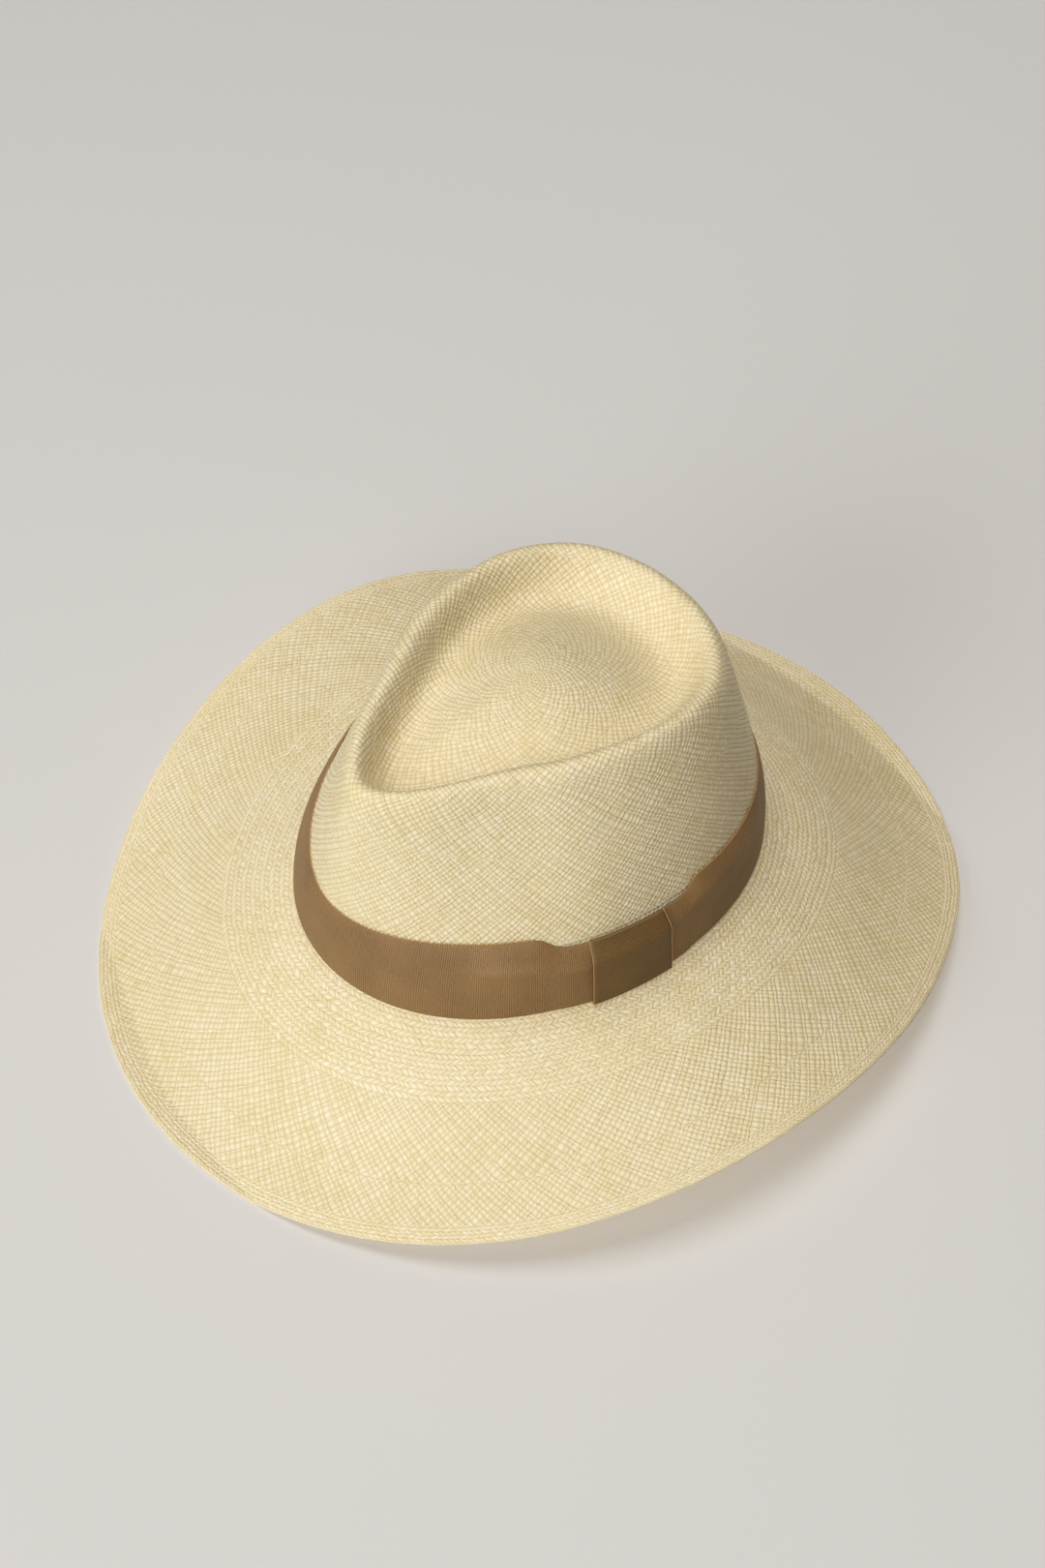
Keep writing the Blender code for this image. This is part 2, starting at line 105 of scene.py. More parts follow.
SWEAT_IN = 2.6
LEATHER = 0.9
SWEAT_BOTTOM = 2.9
SWEAT_TOP = 34.0
REED = 1.5
REED_IN = 3.05
REED_LIFT = 1.7
TAPE = 0.3

# The table that the shape is read from: steps round the hat, from its middle to the foot, and on to the edge.
STEPS_ROUND = 720
STEPS_CROWN = 700
STEPS_BRIM = 420
# Where the crown's foot lies along the steering curve, as a share of its spans.
FOOT_SPAN = 16 / 25


def angle_apart(a, b):
    """The angle between two directions, in degrees, from -180 to 180."""
    return (a - b + 180) % 360 - 180


def bump(x, flat, edge):
    """1 within flat of zero, falling smoothly to 0 over edge."""
    t = np.clip((np.abs(x) - flat) / edge, 0.0, 1.0)
    return 1 - t * t * (3 - 2 * t)


def even(values):
    """A smooth curve over all directions, in degrees, that is the same left and right of the front."""
    table = np.interp(np.arange(0, 181), DIRECTIONS, values)
    full = np.concatenate([table, table[-2:0:-1]])
    weights = np.exp(-0.5 * (np.arange(-30, 31) / (SMOOTHING / 1.6)) ** 2)
    weights /= weights.sum()
    return np.convolve(np.concatenate([full[-30:], full, full[:30]]), weights, mode="valid")


CREST_R, CREST_Z = even(CREST_RADIUS), even(CREST_HEIGHT)
INSET, GROOVE_Z = even(GROOVE_INSET), even(GROOVE_HEIGHT)


def at_direction(curve, degrees):
    """Reads one of the smooth curves at any directions."""
    return np.interp(degrees % 360, np.arange(361), np.append(curve, curve[0]))


def oval(degrees, half_width, half_length):
    """The radius of an oval in each direction."""
    a = np.radians(degrees)
    return 1 / np.hypot(np.sin(a) / half_width, np.cos(a) / half_length)


def foot(degrees):
    """The crown foot's radius and height in each direction."""
    a = np.radians(degrees - 90)
    height = FOOT_HEIGHT + FOOT_RISE_AT_SIDES * np.cos(2 * a) - FOOT_DROP_AT_BACK * np.sin(a)
    return oval(degrees, FOOT_HALF_WIDTH, FOOT_HALF_LENGTH), height


def brim_edge(degrees):
    """The brim edge's radius and the height of its upper face in each direction."""
    a = np.radians(degrees - 90)
    width = BRIM_WIDTH + BRIM_WIDER_AT_BACK * np.sin(a)
    radius = oval(degrees, FOOT_HALF_WIDTH + width, FOOT_HALF_LENGTH + width)
    radius = radius - BRIM_SHIFT_FORWARD * np.sin(a)
    for waves, depth, where in BRIM_STRAY:
        radius = radius + depth * np.cos(np.radians(waves * degrees - where))
    radius = radius + BRIM_BULGE * bump(angle_apart(degrees, BRIM_BULGE_AT), 0.0, 24.0)
    height = BRIM_SIDE_LIFT * (1 + np.cos(2 * a))
    height = height - BRIM_DIAGONAL_DIP * (1 - np.cos(4 * a)) / 2
    height = height - BRIM_TWIST * np.sin(a) * np.cos(a)
    height = height - BRIM_RIPPLE * np.cos(3 * a)
    height = height + BRIM_REAR_LIFT * bump(angle_apart(degrees, BRIM_REAR_LIFT_AT), 0.0, 46.0)
    return radius, height - BRIM_PRESS


def control_points(degrees):
    """The points that steer the hat's section in each direction, from the crown's middle to the edge."""
    crest_r, crest_z = at_direction(CREST_R, degrees), at_direction(CREST_Z, degrees)
    groove_r = crest_r - at_direction(INSET, degrees)
    groove_z = at_direction(GROOVE_Z, degrees)
    foot_r, foot_z = foot(degrees)
    edge_r, edge_z = brim_edge(degrees)
    shoulder_r, shoulder_z = crest_r + 6.5, crest_z - 9.0
    dome = np.full_like(degrees, DOME_HEIGHT)
    points = [
        (0.0 * dome, dome),
        (0.22 * groove_r, dome),
        (0.55 * groove_r, groove_z + 0.66 * (dome - groove_z)),
        (0.84 * groove_r, groove_z + 0.16 * (dome - groove_z)),
        (groove_r + 1.0, groove_z - 0.8),
        (groove_r + 0.42 * (crest_r - groove_r), groove_z + 0.12 * (crest_z - groove_z)),
        (crest_r - 6.0, crest_z - 2.6),
        (crest_r - 2.6, crest_z + 1.7),
        (crest_r + 2.6, crest_z + 1.2),
        (shoulder_r, shoulder_z),
    ]
    left, right = angle_apart(degrees, SIDE_DENT_AT), angle_apart(degrees, -SIDE_DENT_AT)
    dent = SIDE_DENT * bump(np.minimum(np.abs(left), np.abs(right)), 4.0, 30.0)
    for part, lean, dip in ((0.2, 0.28, 0.7), (0.45, 0.6, 1.0), (0.7, 0.85, 0.4), (0.87, 0.97, 0.0)):
        r = shoulder_r + lean * (foot_r - shoulder_r) - dip * dent
        points.append((r, shoulder_z + part * (foot_z - shoulder_z)))
    points += [(foot_r, foot_z + 3.5), (foot_r + 0.4, foot_z + 0.2), (foot_r + 4.0, foot_z - 0.8)]
    for part in (0.12, 0.25, 0.42, 0.6, 0.78, 0.9, 1.0):
        fall = part - BRIM_BOW * math.sin(2 * math.pi * part)
        z = foot_z - 1.0 + fall * (edge_z - foot_z + 1.0)
        points.append((foot_r + part * (edge_r - foot_r), z))
    return np.array(points).transpose(2, 0, 1)


def section(degrees, samples):
    """The hat's sections: radius and height of the straw's outer face, by direction and sample."""
    points = control_points(degrees)
    p = np.concatenate([points[:, :1], points[:, :1], points, points[:, -1:], points[:, -1:]], axis=1)
    spans = p.shape[1] - 3
    t = np.clip(samples * spans, 0, spans - 1e-9)
    i = t.astype(int)
    u = (t - i)[None, :, None]
    rz = (
        (1 - u) ** 3 * p[:, i]
        + (3 * u**3 - 6 * u**2 + 4) * p[:, i + 1]
        + (-3 * u**3 + 3 * u**2 + 3 * u + 1) * p[:, i + 2]
        + u**3 * p[:, i + 3]
    ) / 6
    z = rz[..., 1]
    rz[..., 1] = np.where(rz[..., 0] > FOOT_HALF_WIDTH, np.maximum(z, STRAW), z)
    return rz


def middle_of_brim():
    """How far the middle of the brim's box lies from the crown's axis."""
    degrees = np.arange(0, 360, 2.0)
    radii = brim_edge(degrees)[0]
    xs, ys = radii * np.sin(np.radians(degrees)), -radii * np.cos(np.radians(degrees))
    return (xs.max() + xs.min()) / 2, (ys.max() + ys.min()) / 2


MIDDLE_X, MIDDLE_Y = middle_of_brim()


def place(degrees, radius, height):
    """Points in millimetres from directions, radii and heights."""
    a = np.radians(degrees)
    radius, height, a = np.broadcast_arrays(radius, height, a)
    return np.stack([np.sin(a) * radius - MIDDLE_X, -np.cos(a) * radius - MIDDLE_Y, height], axis=-1)


def read_table(table, x, y):
    """Reads a table between its entries. The first index wraps round the hat, the second doesn't."""
    rounds = table.shape[0]
    y = np.clip(y, 0, table.shape[1] - 1.001)
    x0, y0 = np.floor(x).astype(int), np.floor(y).astype(int)
    fx, fy = (x - x0)[..., None], (y - y0)[..., None]
    x0, x1 = x0 % rounds, (x0 + 1) % rounds
    near = table[x0, y0] * (1 - fx) + table[x1, y0] * fx
    far = table[x0, y0 + 1] * (1 - fx) + table[x1, y0 + 1] * fx
    return near * (1 - fy) + far * fy


class BlockedHat:
    """The straw's outer face as points and normals, read by how far round and how far along.

    Along runs from 0 at the crown's middle to 1 at its foot and 2 at the brim's edge. Round runs from 0 at
    the front to 1 there again, evenly by length, as straws of one width are spread in a real weave.
    """

    def __init__(self):
        degrees = np.arange(STEPS_ROUND) * 360.0 / STEPS_ROUND
        fine = np.linspace(0, 1, 2401)
        rz = section(degrees, fine)
        lengths = np.hypot(*np.moveaxis(np.diff(rz, axis=1), -1, 0))
        run = np.concatenate([np.zeros((STEPS_ROUND, 1)), np.cumsum(lengths, axis=1)], axis=1)
        foot_at = int(round(FOOT_SPAN * (len(fine) - 1)))
        crown = np.linspace(0, 1, STEPS_CROWN + 1)
        brim = np.linspace(0, 1, STEPS_BRIM + 1)[1:]
        self.points = np.empty((STEPS_ROUND, STEPS_CROWN + STEPS_BRIM + 1, 3))
        for i in range(STEPS_ROUND):
            to_foot, to_edge = run[i, foot_at], run[i, -1]
            stops = np.concatenate([crown * to_foot, to_foot + brim * (to_edge - to_foot)])
            radius = np.interp(stops, run[i], rz[i, :, 0])
            height = np.interp(stops, run[i], rz[i, :, 1])
            self.points[i] = place(degrees[i], radius, height)
        self.crown_run = float(run[:, foot_at].mean())
        self.brim_run = float((run[:, -1] - run[:, foot_at]).mean())
        outward = np.gradient(self.points, axis=1)
        turning = np.roll(self.points, -1, axis=0) - np.roll(self.points, 1, axis=0)
        normals = np.cross(outward, turning)
        size = np.linalg.norm(normals, axis=-1, keepdims=True)
        normals /= np.maximum(size, 1e-9)
        calm = np.clip(np.arange(normals.shape[1]) / 12, 0, 1)[None, :, None]
        normals = normals * calm + np.array([0, 0, 1]) * (1 - calm)
        self.normals = normals / np.linalg.norm(normals, axis=-1, keepdims=True)
        self._spread_round()
        self._measure_wall(degrees, rz)

    def _spread_round(self):
        """Finds the direction of every even step round each ring."""
        rings = np.arange(0, self.points.shape[1], 8)
        self.ring_rows = rings
        self.turns = np.empty((len(rings), STEPS_ROUND + 1))
        self.ring_lengths = np.empty(len(rings))
        even_steps = np.linspace(0, 1, STEPS_ROUND + 1)
        for k, row in enumerate(rings):
            ring = self.points[:, row]
            steps = np.linalg.norm(np.roll(ring, -1, axis=0) - ring, axis=1)
            gone = np.concatenate([[0], np.cumsum(steps)])
            self.ring_lengths[k] = gone[-1]
            share = gone / gone[-1] if gone[-1] > 1 else even_steps
            self.turns[k] = np.interp(even_steps, share, even_steps) * STEPS_ROUND

    def _measure_wall(self, degrees, rz):
        """The crown wall's radius by direction and by height above the foot, every quarter millimetre."""
        heights = np.arange(0, 60, 0.25)
        self.wall = np.empty((STEPS_ROUND, len(heights), 1))
        foot_r, foot_z = foot(degrees)
        crest = at_direction(CREST_R, degrees)
        for i in range(STEPS_ROUND):
            top = int(np.argmax(np.where(rz[i, :, 0] > crest[i], rz[i, :, 1], -1)))
            side = rz[i, top:]
            side = side[(side[:, 1] > foot_z[i] - 0.4) & (side[:, 0] < foot_r[i] + 6)][::-1]
            self.wall[i, :, 0] = np.interp(foot_z[i] + heights, side[:, 1], side[:, 0])

    def row_of(self, along):
        """The table row of a distance along."""
        return np.where(along <= 1, along * STEPS_CROWN, STEPS_CROWN + (along - 1) * STEPS_BRIM)

    def run_at(self, along):
        """Millimetres in one whole unit of along."""
        return self.crown_run if along < 1 else self.brim_run

    def ring_length(self, along):
        """The length of the ring at one distance along."""
        return float(np.interp(self.row_of(along), self.ring_rows, self.ring_lengths))

    def direction_row(self, turn, along):
        """The table's first index for a share of the way round, spread evenly by length."""
        turn = turn % 1.0
        y = np.clip(self.row_of(along) / 8, 0, len(self.ring_rows) - 1.001)
        x = turn * STEPS_ROUND
        x0, y0 = np.floor(x).astype(int), np.floor(y).astype(int)
        fx, fy = x - x0, y - y0
        x0 = np.minimum(x0, STEPS_ROUND - 1)
        near = self.turns[y0, x0] * (1 - fx) + self.turns[y0, x0 + 1] * fx
        far = self.turns[y0 + 1, x0] * (1 - fx) + self.turns[y0 + 1, x0 + 1] * fx
        return near * (1 - fy) + far * fy

    def at(self, turn, along, lift):
        """Points that stand a distance out from the straw's outer face."""
        x, y = self.direction_row(turn, along), self.row_of(along)
        normal = read_table(self.normals, x, y)
        normal /= np.linalg.norm(normal, axis=-1, keepdims=True)
        return read_table(self.points, x, y) + normal * lift[..., None]

    def on_wall(self, degrees, height, off):
        """Points a height above the crown's foot and a distance out from the straw's outer face."""
        degrees, height, off = np.broadcast_arrays(
            np.asarray(degrees, float), np.asarray(height, float), np.asarray(off, float)
        )
        radius = read_table(self.wall, degrees * STEPS_ROUND / 360, height * 4)[..., 0]
        return place(degrees, radius + off, foot(degrees)[1] + height)


# ---------------------------------------------------------------- making pieces


def ripple(points, length, seed, waves=9):
    """Smooth unevenness through space: about -1 to 1, with features of one length."""
    random = np.random.default_rng(seed)
    total = np.zeros(points.shape[:-1])
    for _ in range(waves):
        direction = random.normal(size=3)
        direction /= np.linalg.norm(direction)
        pace = 2 * math.pi / (length * random.uniform(0.7, 1.5))
        total += np.sin(points @ direction * pace + random.uniform(0, 2 * math.pi))
    return total / math.sqrt(waves)


def grid_faces(rows, columns, ring, flip=False):
    """Four-cornered faces between the points of a grid that may close into a ring by its columns."""
    r = np.arange(rows - 1)[:, None]
    c = np.arange(columns if ring else columns - 1)[None, :]
    d = (c + 1) % columns
    corners = [r * columns + c, (r + 1) * columns + c, (r + 1) * columns + d, r * columns + d]
    faces = stack_corners(corners)
    return faces[:, ::-1] if flip else faces


def stack_corners(corners):
    """Makes a list of faces from grids of their first, second, third and fourth corners."""
    return np.stack(np.broadcast_arrays(*corners), axis=-1).reshape(-1, 4)


def closed_faces(rows, columns, ring=True):
    """Faces of a grid whose last row joins its first, and that may close by its columns too."""
    return grid_faces(rows + 1, columns, ring) % (rows * columns)


def end_caps(rows, columns):
    """Faces that close both ends of a flat tube, each ring of which runs out one side and back the other."""
    c = np.arange(columns // 2 - 1)
    quads = np.stack([c, c + 1, columns - 2 - c, columns - 1 - c], axis=-1)
    return np.concatenate([quads[:, ::-1], quads + (rows - 1) * columns])


def make_piece(name, points, faces, material, point_values=None, face_values=None):
    """Makes a smooth mesh object from points in millimetres, with named values on its points and faces."""
    mesh = bpy.data.meshes.new(name)
    points = np.ascontiguousarray(points.reshape(-1, 3) * MM, dtype=np.float32)
    faces = np.ascontiguousarray(faces, dtype=np.int32)
    mesh.vertices.add(len(points))
    mesh.vertices.foreach_set("co", points.ravel())
    mesh.loops.add(faces.size)
    mesh.loops.foreach_set("vertex_index", faces.ravel())
    mesh.polygons.add(len(faces))
    mesh.polygons.foreach_set("loop_start", np.arange(0, faces.size, faces.shape[1], dtype=np.int32))
    mesh.update(calc_edges=True)
    mesh.shade_smooth()
    for domain, values in (("POINT", point_values), ("FACE", face_values)):
        for key, array in (values or {}).items():
            layer = mesh.attributes.new(key, "FLOAT", domain)
            layer.data.foreach_set("value", np.ascontiguousarray(array.ravel(), dtype=np.float32))
    mesh.validate()
    mesh.materials.append(material)
    made = bpy.data.objects.new(name, mesh)
    bpy.context.scene.collection.objects.link(made)
    return made


class Gathered:
    """Several grids that become one mesh."""

    def __init__(self):
        self.points, self.faces, self.count = [], [], 0
        self.point_values, self.face_values = {}, {}

    def add(self, points, faces, point_values=None, face_values=None):
        """Adds a grid's points and faces, and the values on them."""
        points = points.reshape(-1, 3)
        self.points.append(points)
        self.faces.append(faces + self.count)
        self.count += len(points)
        for kept, values in ((self.point_values, point_values), (self.face_values, face_values)):
            for key, array in (values or {}).items():
                kept.setdefault(key, []).append(array.ravel())

    def piece(self, name, material):
        """Makes the one mesh object."""
        joined = [{k: np.concatenate(v) for k, v in d.items()} for d in (self.point_values, self.face_values)]
        return make_piece(name, np.concatenate(self.points), np.concatenate(self.faces), material, *joined)


def finish_piece(made, slot, *stands_for):
    """Ties a piece to the frame's root body and hides the frame's nodes that it stands for; slot is not used.
    """
    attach(made, "root")
    if stands_for:
        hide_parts(*stands_for)
    return made


# ---------------------------------------------------------------- materials


def linear(hex_colour):
    """Turns an sRGB hex colour into the linear numbers a shader takes."""
    parts = [int(hex_colour[i : i + 2], 16) / 255 for i in (1, 3, 5)]
    return tuple(p / 12.92 if p <= 0.04045 else ((p + 0.055) / 1.055) ** 2.4 for p in parts) + (1.0,)


def new_material(name, roughness, **settings):
    """Makes a material with a Principled shader whose plain numbers are set on its own sockets."""
    made = bpy.data.materials.new(name)
    made.use_nodes = True
    shader = made.node_tree.nodes["Principled BSDF"]
    shader.inputs["Roughness"].default_value = roughness
    for socket, value in settings.items():
        shader.inputs[socket.replace("_", " ")].default_value = value
    return made, made.node_tree, shader


def add_node(tree, kind, settings=None, values=None, links=None):
    """Adds one node with its settings, its socket values and the sockets that feed it."""
    made = tree.nodes.new(kind)
    for key, value in (settings or {}).items():
        setattr(made, key, value)
    for key, value in (values or {}).items():
        made.inputs[key].default_value = value
    for key, source in (links or {}).items():
        tree.links.new(source, made.inputs[key])
    return made


def colour_steps(tree, source, steps):
    """A colour ramp fed by one value, with stops given as (position, sRGB hex)."""
    ramp = add_node(tree, "ShaderNodeValToRGB", links={"Fac": source})
    stops = ramp.color_ramp.elements
    while len(stops) < len(steps):
        stops.new(0.5)
    for stop, (position, hex_colour) in zip(stops, steps):
        stop.position = position
        stop.color = linear(hex_colour)
    return ramp.outputs["Color"]


def noise(tree, where, scale, detail=2.0):
    """An uneven value with a number of features to the metre."""
    values = {"Scale": scale, "Detail": detail}
    return add_node(tree, "ShaderNodeTexNoise", None, values, {"Vector": where}).outputs["Fac"]


def own_place(tree):
    """A point's place on the piece itself."""
    return add_node(tree, "ShaderNodeTexCoord").outputs["Object"]


def mesh_value(tree, name):
    """A named value from the mesh."""
    return add_node(tree, "ShaderNodeAttribute", {"attribute_name": name}).outputs["Fac"]


def weigh(tree, value, weight, rest):
    """value * weight + rest, where rest is a plain number or another value."""
    values, links = {1: weight}, {0: value}
    (values if isinstance(rest, float) else links)[2] = rest
    return add_node(tree, "ShaderNodeMath", {"operation": "MULTIPLY_ADD"}, values, links).outputs[0]


def blend(tree, share, first, second, mode="MIX"):
    """Blends two colours. Each of the three inputs is a plain value or a socket."""
    values, links = {}, {}
    for key, given in ((0, share), (6, first), (7, second)):
        (links if isinstance(given, bpy.types.NodeSocket) else values)[key] = given
    settings = {"data_type": "RGBA", "blend_type": mode}
    return add_node(tree, "ShaderNodeMix", settings, values, links).outputs[2]


def relief(tree, shader, height, strength, depth, invert=False):
    """Gives the surface fine relief from a value, with its depth in millimetres."""
    values = {"Strength": strength, "Distance": depth * MM}
    made = add_node(tree, "ShaderNodeBump", {"invert": invert}, values, {"Height": height})
    tree.links.new(made.outputs["Normal"], shader.inputs["Normal"])


def vary_roughness(tree, shader, value, least, most, low=0.0, high=1.0):
    """Makes the roughness go from least to most as a value goes from low to high."""
    values = {"From Min": low, "From Max": high, "To Min": least, "To Max": most}
    made = add_node(tree, "ShaderNodeMapRange", None, values, {"Value": value})
    tree.links.new(made.outputs["Result"], shader.inputs["Roughness"])


def toquilla_straw(name):
    """Split and bleached palm straw: each strand has its own cream or straw shade and a dry, fibrous face."""
    made, tree, shader = new_material(name, 0.5, Specular_IOR_Level=0.38)
    where = own_place(tree)
    # Fibres are about half a millimetre apart, and stains about a centimetre across.
    fibre = noise(tree, where, 1900.0)
    stain = noise(tree, where, 90.0, 3.0)
    shade = weigh(tree, fibre, 0.3, mesh_value(tree, "straw_tone"))
    shade = weigh(tree, stain, 0.25, shade)
    strand = colour_steps(
        tree,
        weigh(tree, shade, 1.0, -0.275),
        [(0.0, "#d4c493"), (0.3, "#e1d3a9"), (0.5, "#e9ddba"), (0.72, "#eee4c9"), (1.0, "#f5eedc")],
    )
    # Painted shade: deep between strands and in pinholes, the colour is blended towards a warmer, darker
    # straw.
    face = blend(tree, mesh_value(tree, "straw_gap_shade"), strand, linear("#b59a56"))
    tree.links.new(face, shader.inputs["Base Color"])
    vary_roughness(tree, shader, fibre, 0.45, 0.68, 0.3, 0.7)
    relief(tree, shader, fibre, 0.25, 0.1)
    return made


def grosgrain(name, dark, light):
    """Ribbed viscose and cotton ribbon: soft sheen on the ribs, and painted shade in the grooves between
    them.
    """
    made, tree, shader = new_material(
        name, 0.52, Specular_IOR_Level=0.38, Sheen_Weight=0.03, Sheen_Roughness=0.4
    )
    where = own_place(tree)
    yarn = noise(tree, where, 1500.0, 3.0)
    # Painted shade: the colour is darker in the grooves between ribs. Yarn and broad noise add the cloth's
    # own tone.
    groove_shade_and_yarn = weigh(tree, mesh_value(tree, "rib_groove_shade"), -0.4, 0.7)
    groove_shade_and_yarn = weigh(tree, yarn, 0.6, groove_shade_and_yarn)
    groove_shade_and_yarn = weigh(tree, noise(tree, where, 55.0), 0.3, groove_shade_and_yarn)
    face = colour_steps(tree, weigh(tree, groove_shade_and_yarn, 1.0, -0.48), [(0.0, dark), (1.0, light)])
    tree.links.new(face, shader.inputs["Base Color"])
    relief(tree, shader, yarn, 0.2, 0.08)
    return made


def spun_thread(name, dark, light):
    """Twisted sewing thread: fine slanting plies of light and shade."""
    made, tree, shader = new_material(name, 0.7, Sheen_Weight=0.1)
    ply = add_node(
        tree,
        "ShaderNodeTexWave",
        {"bands_direction": "DIAGONAL"},
        {"Scale": 1500.0, "Distortion": 2.0},
        {"Vector": own_place(tree)},
    ).outputs["Fac"]
    face = colour_steps(tree, ply, [(0.0, dark), (1.0, light)])
    tree.links.new(face, shader.inputs["Base Color"])
    relief(tree, shader, ply, 0.4, 0.1)
    return made


def tanned_leather(name):
    """Vegetable-tanned sheepskin: fine pebbled grain, darker where it is pressed and handled."""
    made, tree, shader = new_material(name, 0.48, Specular_IOR_Level=0.45)
    where = own_place(tree)
    # Pebbles of grain are about a millimetre across.
    pebble = add_node(
        tree,
        "ShaderNodeTexVoronoi",
        {"feature": "SMOOTH_F1"},
        {"Scale": 1100.0, "Smoothness": 0.6},
        {"Vector": where},
    ).outputs["Distance"]
    cloud = noise(tree, where, 45.0, 4.0)
    face = colour_steps(tree, cloud, [(0.25, "#8d6438"), (0.5, "#a87b4c"), (0.75, "#bb9160")])
    valleys = colour_steps(tree, pebble, [(0.0, "#ffffff"), (0.8, "#b09078")])
    tree.links.new(blend(tree, 0.35, face, valleys, "MULTIPLY"), shader.inputs["Base Color"])
    vary_roughness(tree, shader, cloud, 0.38, 0.6)
    relief(tree, shader, pebble, 0.5, 0.15, invert=True)
    return made


def plain_weave_cloth(name, dark, light):
    """Cotton tape in plain weave: crossing yarns a fraction of a millimetre apart."""
    made, tree, shader = new_material(name, 0.85, Sheen_Weight=0.2)
    where = own_place(tree)
    threads = 1400.0
    upright = add_node(
        tree,
        "ShaderNodeTexWave",
        {"bands_direction": "Z"},
        {"Scale": threads / 3, "Distortion": 1.0},
        {"Vector": where},
    ).outputs["Fac"]
    across = noise(tree, where, threads, 1.0)
    crossed = {0: upright, 1: across}
    woven = add_node(tree, "ShaderNodeMath", {"operation": "MULTIPLY"}, None, crossed).outputs[0]
    face = colour_steps(tree, woven, [(0.0, dark), (0.5, light)])
    tree.links.new(face, shader.inputs["Base Color"])
    relief(tree, shader, woven, 0.4, 0.1)
    return made


def drawn_plastic(name):
    """Extruded polyethylene cord: milky, smooth and slightly waxy."""
    made, tree, shader = new_material(name, 0.4, Subsurface_Weight=0.1)
    cloud = noise(tree, own_place(tree), 120.0)
    face = colour_steps(tree, cloud, [(0.3, "#d9d4c4"), (0.7, "#ebe7db")])
    tree.links.new(face, shader.inputs["Base Color"])
    return made


# ---------------------------------------------------------------- the straw weave

# Where points lie along a strand's visible face and across it, as shares, with the valleys at 0.
# Crossed strands use the first set both ways.
OUTSIDE_STEPS = ((0.0, 0.1, 0.5, 0.9), (0.0, 0.18, 0.5, 0.82))
INSIDE_STEPS = ((0.0, 0.2, 0.8), (0.0, 0.2, 0.8))

# How far the herringbone rows reach out on the brim, and how wide the back-woven border is, in millimetres.
HERRINGBONE_OUT = 34.0
BORDER = 6.5
# The rows at the foot of the crown start behind the hatband, at this share of the way down the crown.
ROWS_START = 0.8
# The strands' pitch in each kind of weave, as a share of the pitch on the crown.
PITCH_SHARE = {"crossed": 1.0, "loose": 1.0, "rows": 0.85, "border": 0.8}
# The height of one ring of the weave, as a share of the strands' pitch.
ROW_HEIGHT = {"crossed": 0.5, "loose": 0.5, "rows": 0.92, "border": 0.8}

# How much each strand differs as a whole, and how much more each place where it shows.
THICKNESS_BY_STRAND = 0.16
TILT_BY_STRAND, TILT_BY_PLACE = 0.8, 0.6
SHADE_BY_STRAND, SHADE_BY_PLACE = 0.3, 0.75
# The furthest that a crossing strays, in strand pitches, and how much of that is the place's own.
FURTHEST_STRAY = 0.3
STRAY_BY_PLACE = 0.7
# A zone's first ring lies this far under the zone before it, in millimetres.
UNDER = 0.12
# How dark a pinhole's colour is painted, as a share: painted shade.
PINHOLE_SHADE = 0.9
# The brim's lowest straws stop just above the floor, in millimetres.
OFF_FLOOR = 0.02


def weave_kind(hat, along):
    """Strands cross one by one on the crown and the brim, and lie in rows round the foot and the edge."""
    if hat.brim_run * (2.0 - along) < BORDER:
        return "border"
    if along <= ROWS_START:
        return "crossed"
    out = (along - 1) * hat.brim_run
    return "rows" if out < HERRINGBONE_OUT else "loose"


def plan_zones(hat, fine, coarse, at_edge):
    """Splits the hat into zones of rings. Each has its own number of strands, more as the hat widens."""
    zones = []
    along, count = 0.6 / hat.crown_run, 6
    edges, kind = [along], "crossed"
    while along < 2.0:
        length = hat.ring_length(along)
        pitch = length / count
        # Strands are added sooner near the crown's middle, and later towards the brim's edge.
        widest = coarse * (0.6 + 0.4 * min(length / 120, 1.0) + at_edge * max(along - 1.0, 0.0))
        widest *= PITCH_SHARE[kind]
        now = weave_kind(hat, along)
        if len(edges) > 2 and (pitch > widest or now != kind):
            zones.append((kind, count, edges))
            next_pitch = widest * PITCH_SHARE[now] / PITCH_SHARE[kind] * fine / coarse
            count = 2 * int(round(length / next_pitch / 2))
            edges, kind = [along], now
            pitch = length / count
        along += pitch * ROW_HEIGHT[kind] / hat.run_at(along)
        edges.append(along)
    if len(edges) > 1:
        zones.append((kind, count, edges))
    # The last zone is stretched so that it ends at the brim's edge.
    kind, count, edges = zones[-1]
    first, last = edges[0], edges[-1]
    zones[-1] = (kind, count, [first + (e - first) * (2.0 - first) / (last - first) for e in edges])
    return zones


def crossings(zone_rows, count, random, waver):
    """How far each crossing of two strands has strayed, in strand pitches, round and along."""
    j, i = np.arange(zone_rows + 1)[:, None], np.arange(count)[None, :]
    rising = random.normal(size=count)[(i - j) % count] * waver
    falling = random.normal(size=count)[(i + j) % count] * waver
    loose = random.normal(size=(2, zone_rows + 1, count)) * waver * STRAY_BY_PLACE
    round_shift = np.clip(rising + falling + loose[0], -FURTHEST_STRAY, FURTHEST_STRAY)
    along_shift = np.clip(falling - rising + loose[1], -FURTHEST_STRAY, FURTHEST_STRAY)
    along_shift[0] = along_shift[-1] = 0
    return round_shift, along_shift


def pinholes(where, random, look):
    """Here and there the strands leave a pinhole where they cross, and these come in little groups."""
    crowd = ripple(where, look["hole_group"], 71)
    return random.random(where.shape[:2]) < look["holes"] * np.clip(crowd, 0, 2) ** 2


def strand_tones(where, shade, look):
    """Each visible strand's shade: its own, with slow changes over the hat in large and small patches."""
    slow = ripple(where, 70.0, 5) * 0.35 + ripple(where, 14.0, 6) * 0.3
    return 0.5 + look["tones"] * (shade + slow)


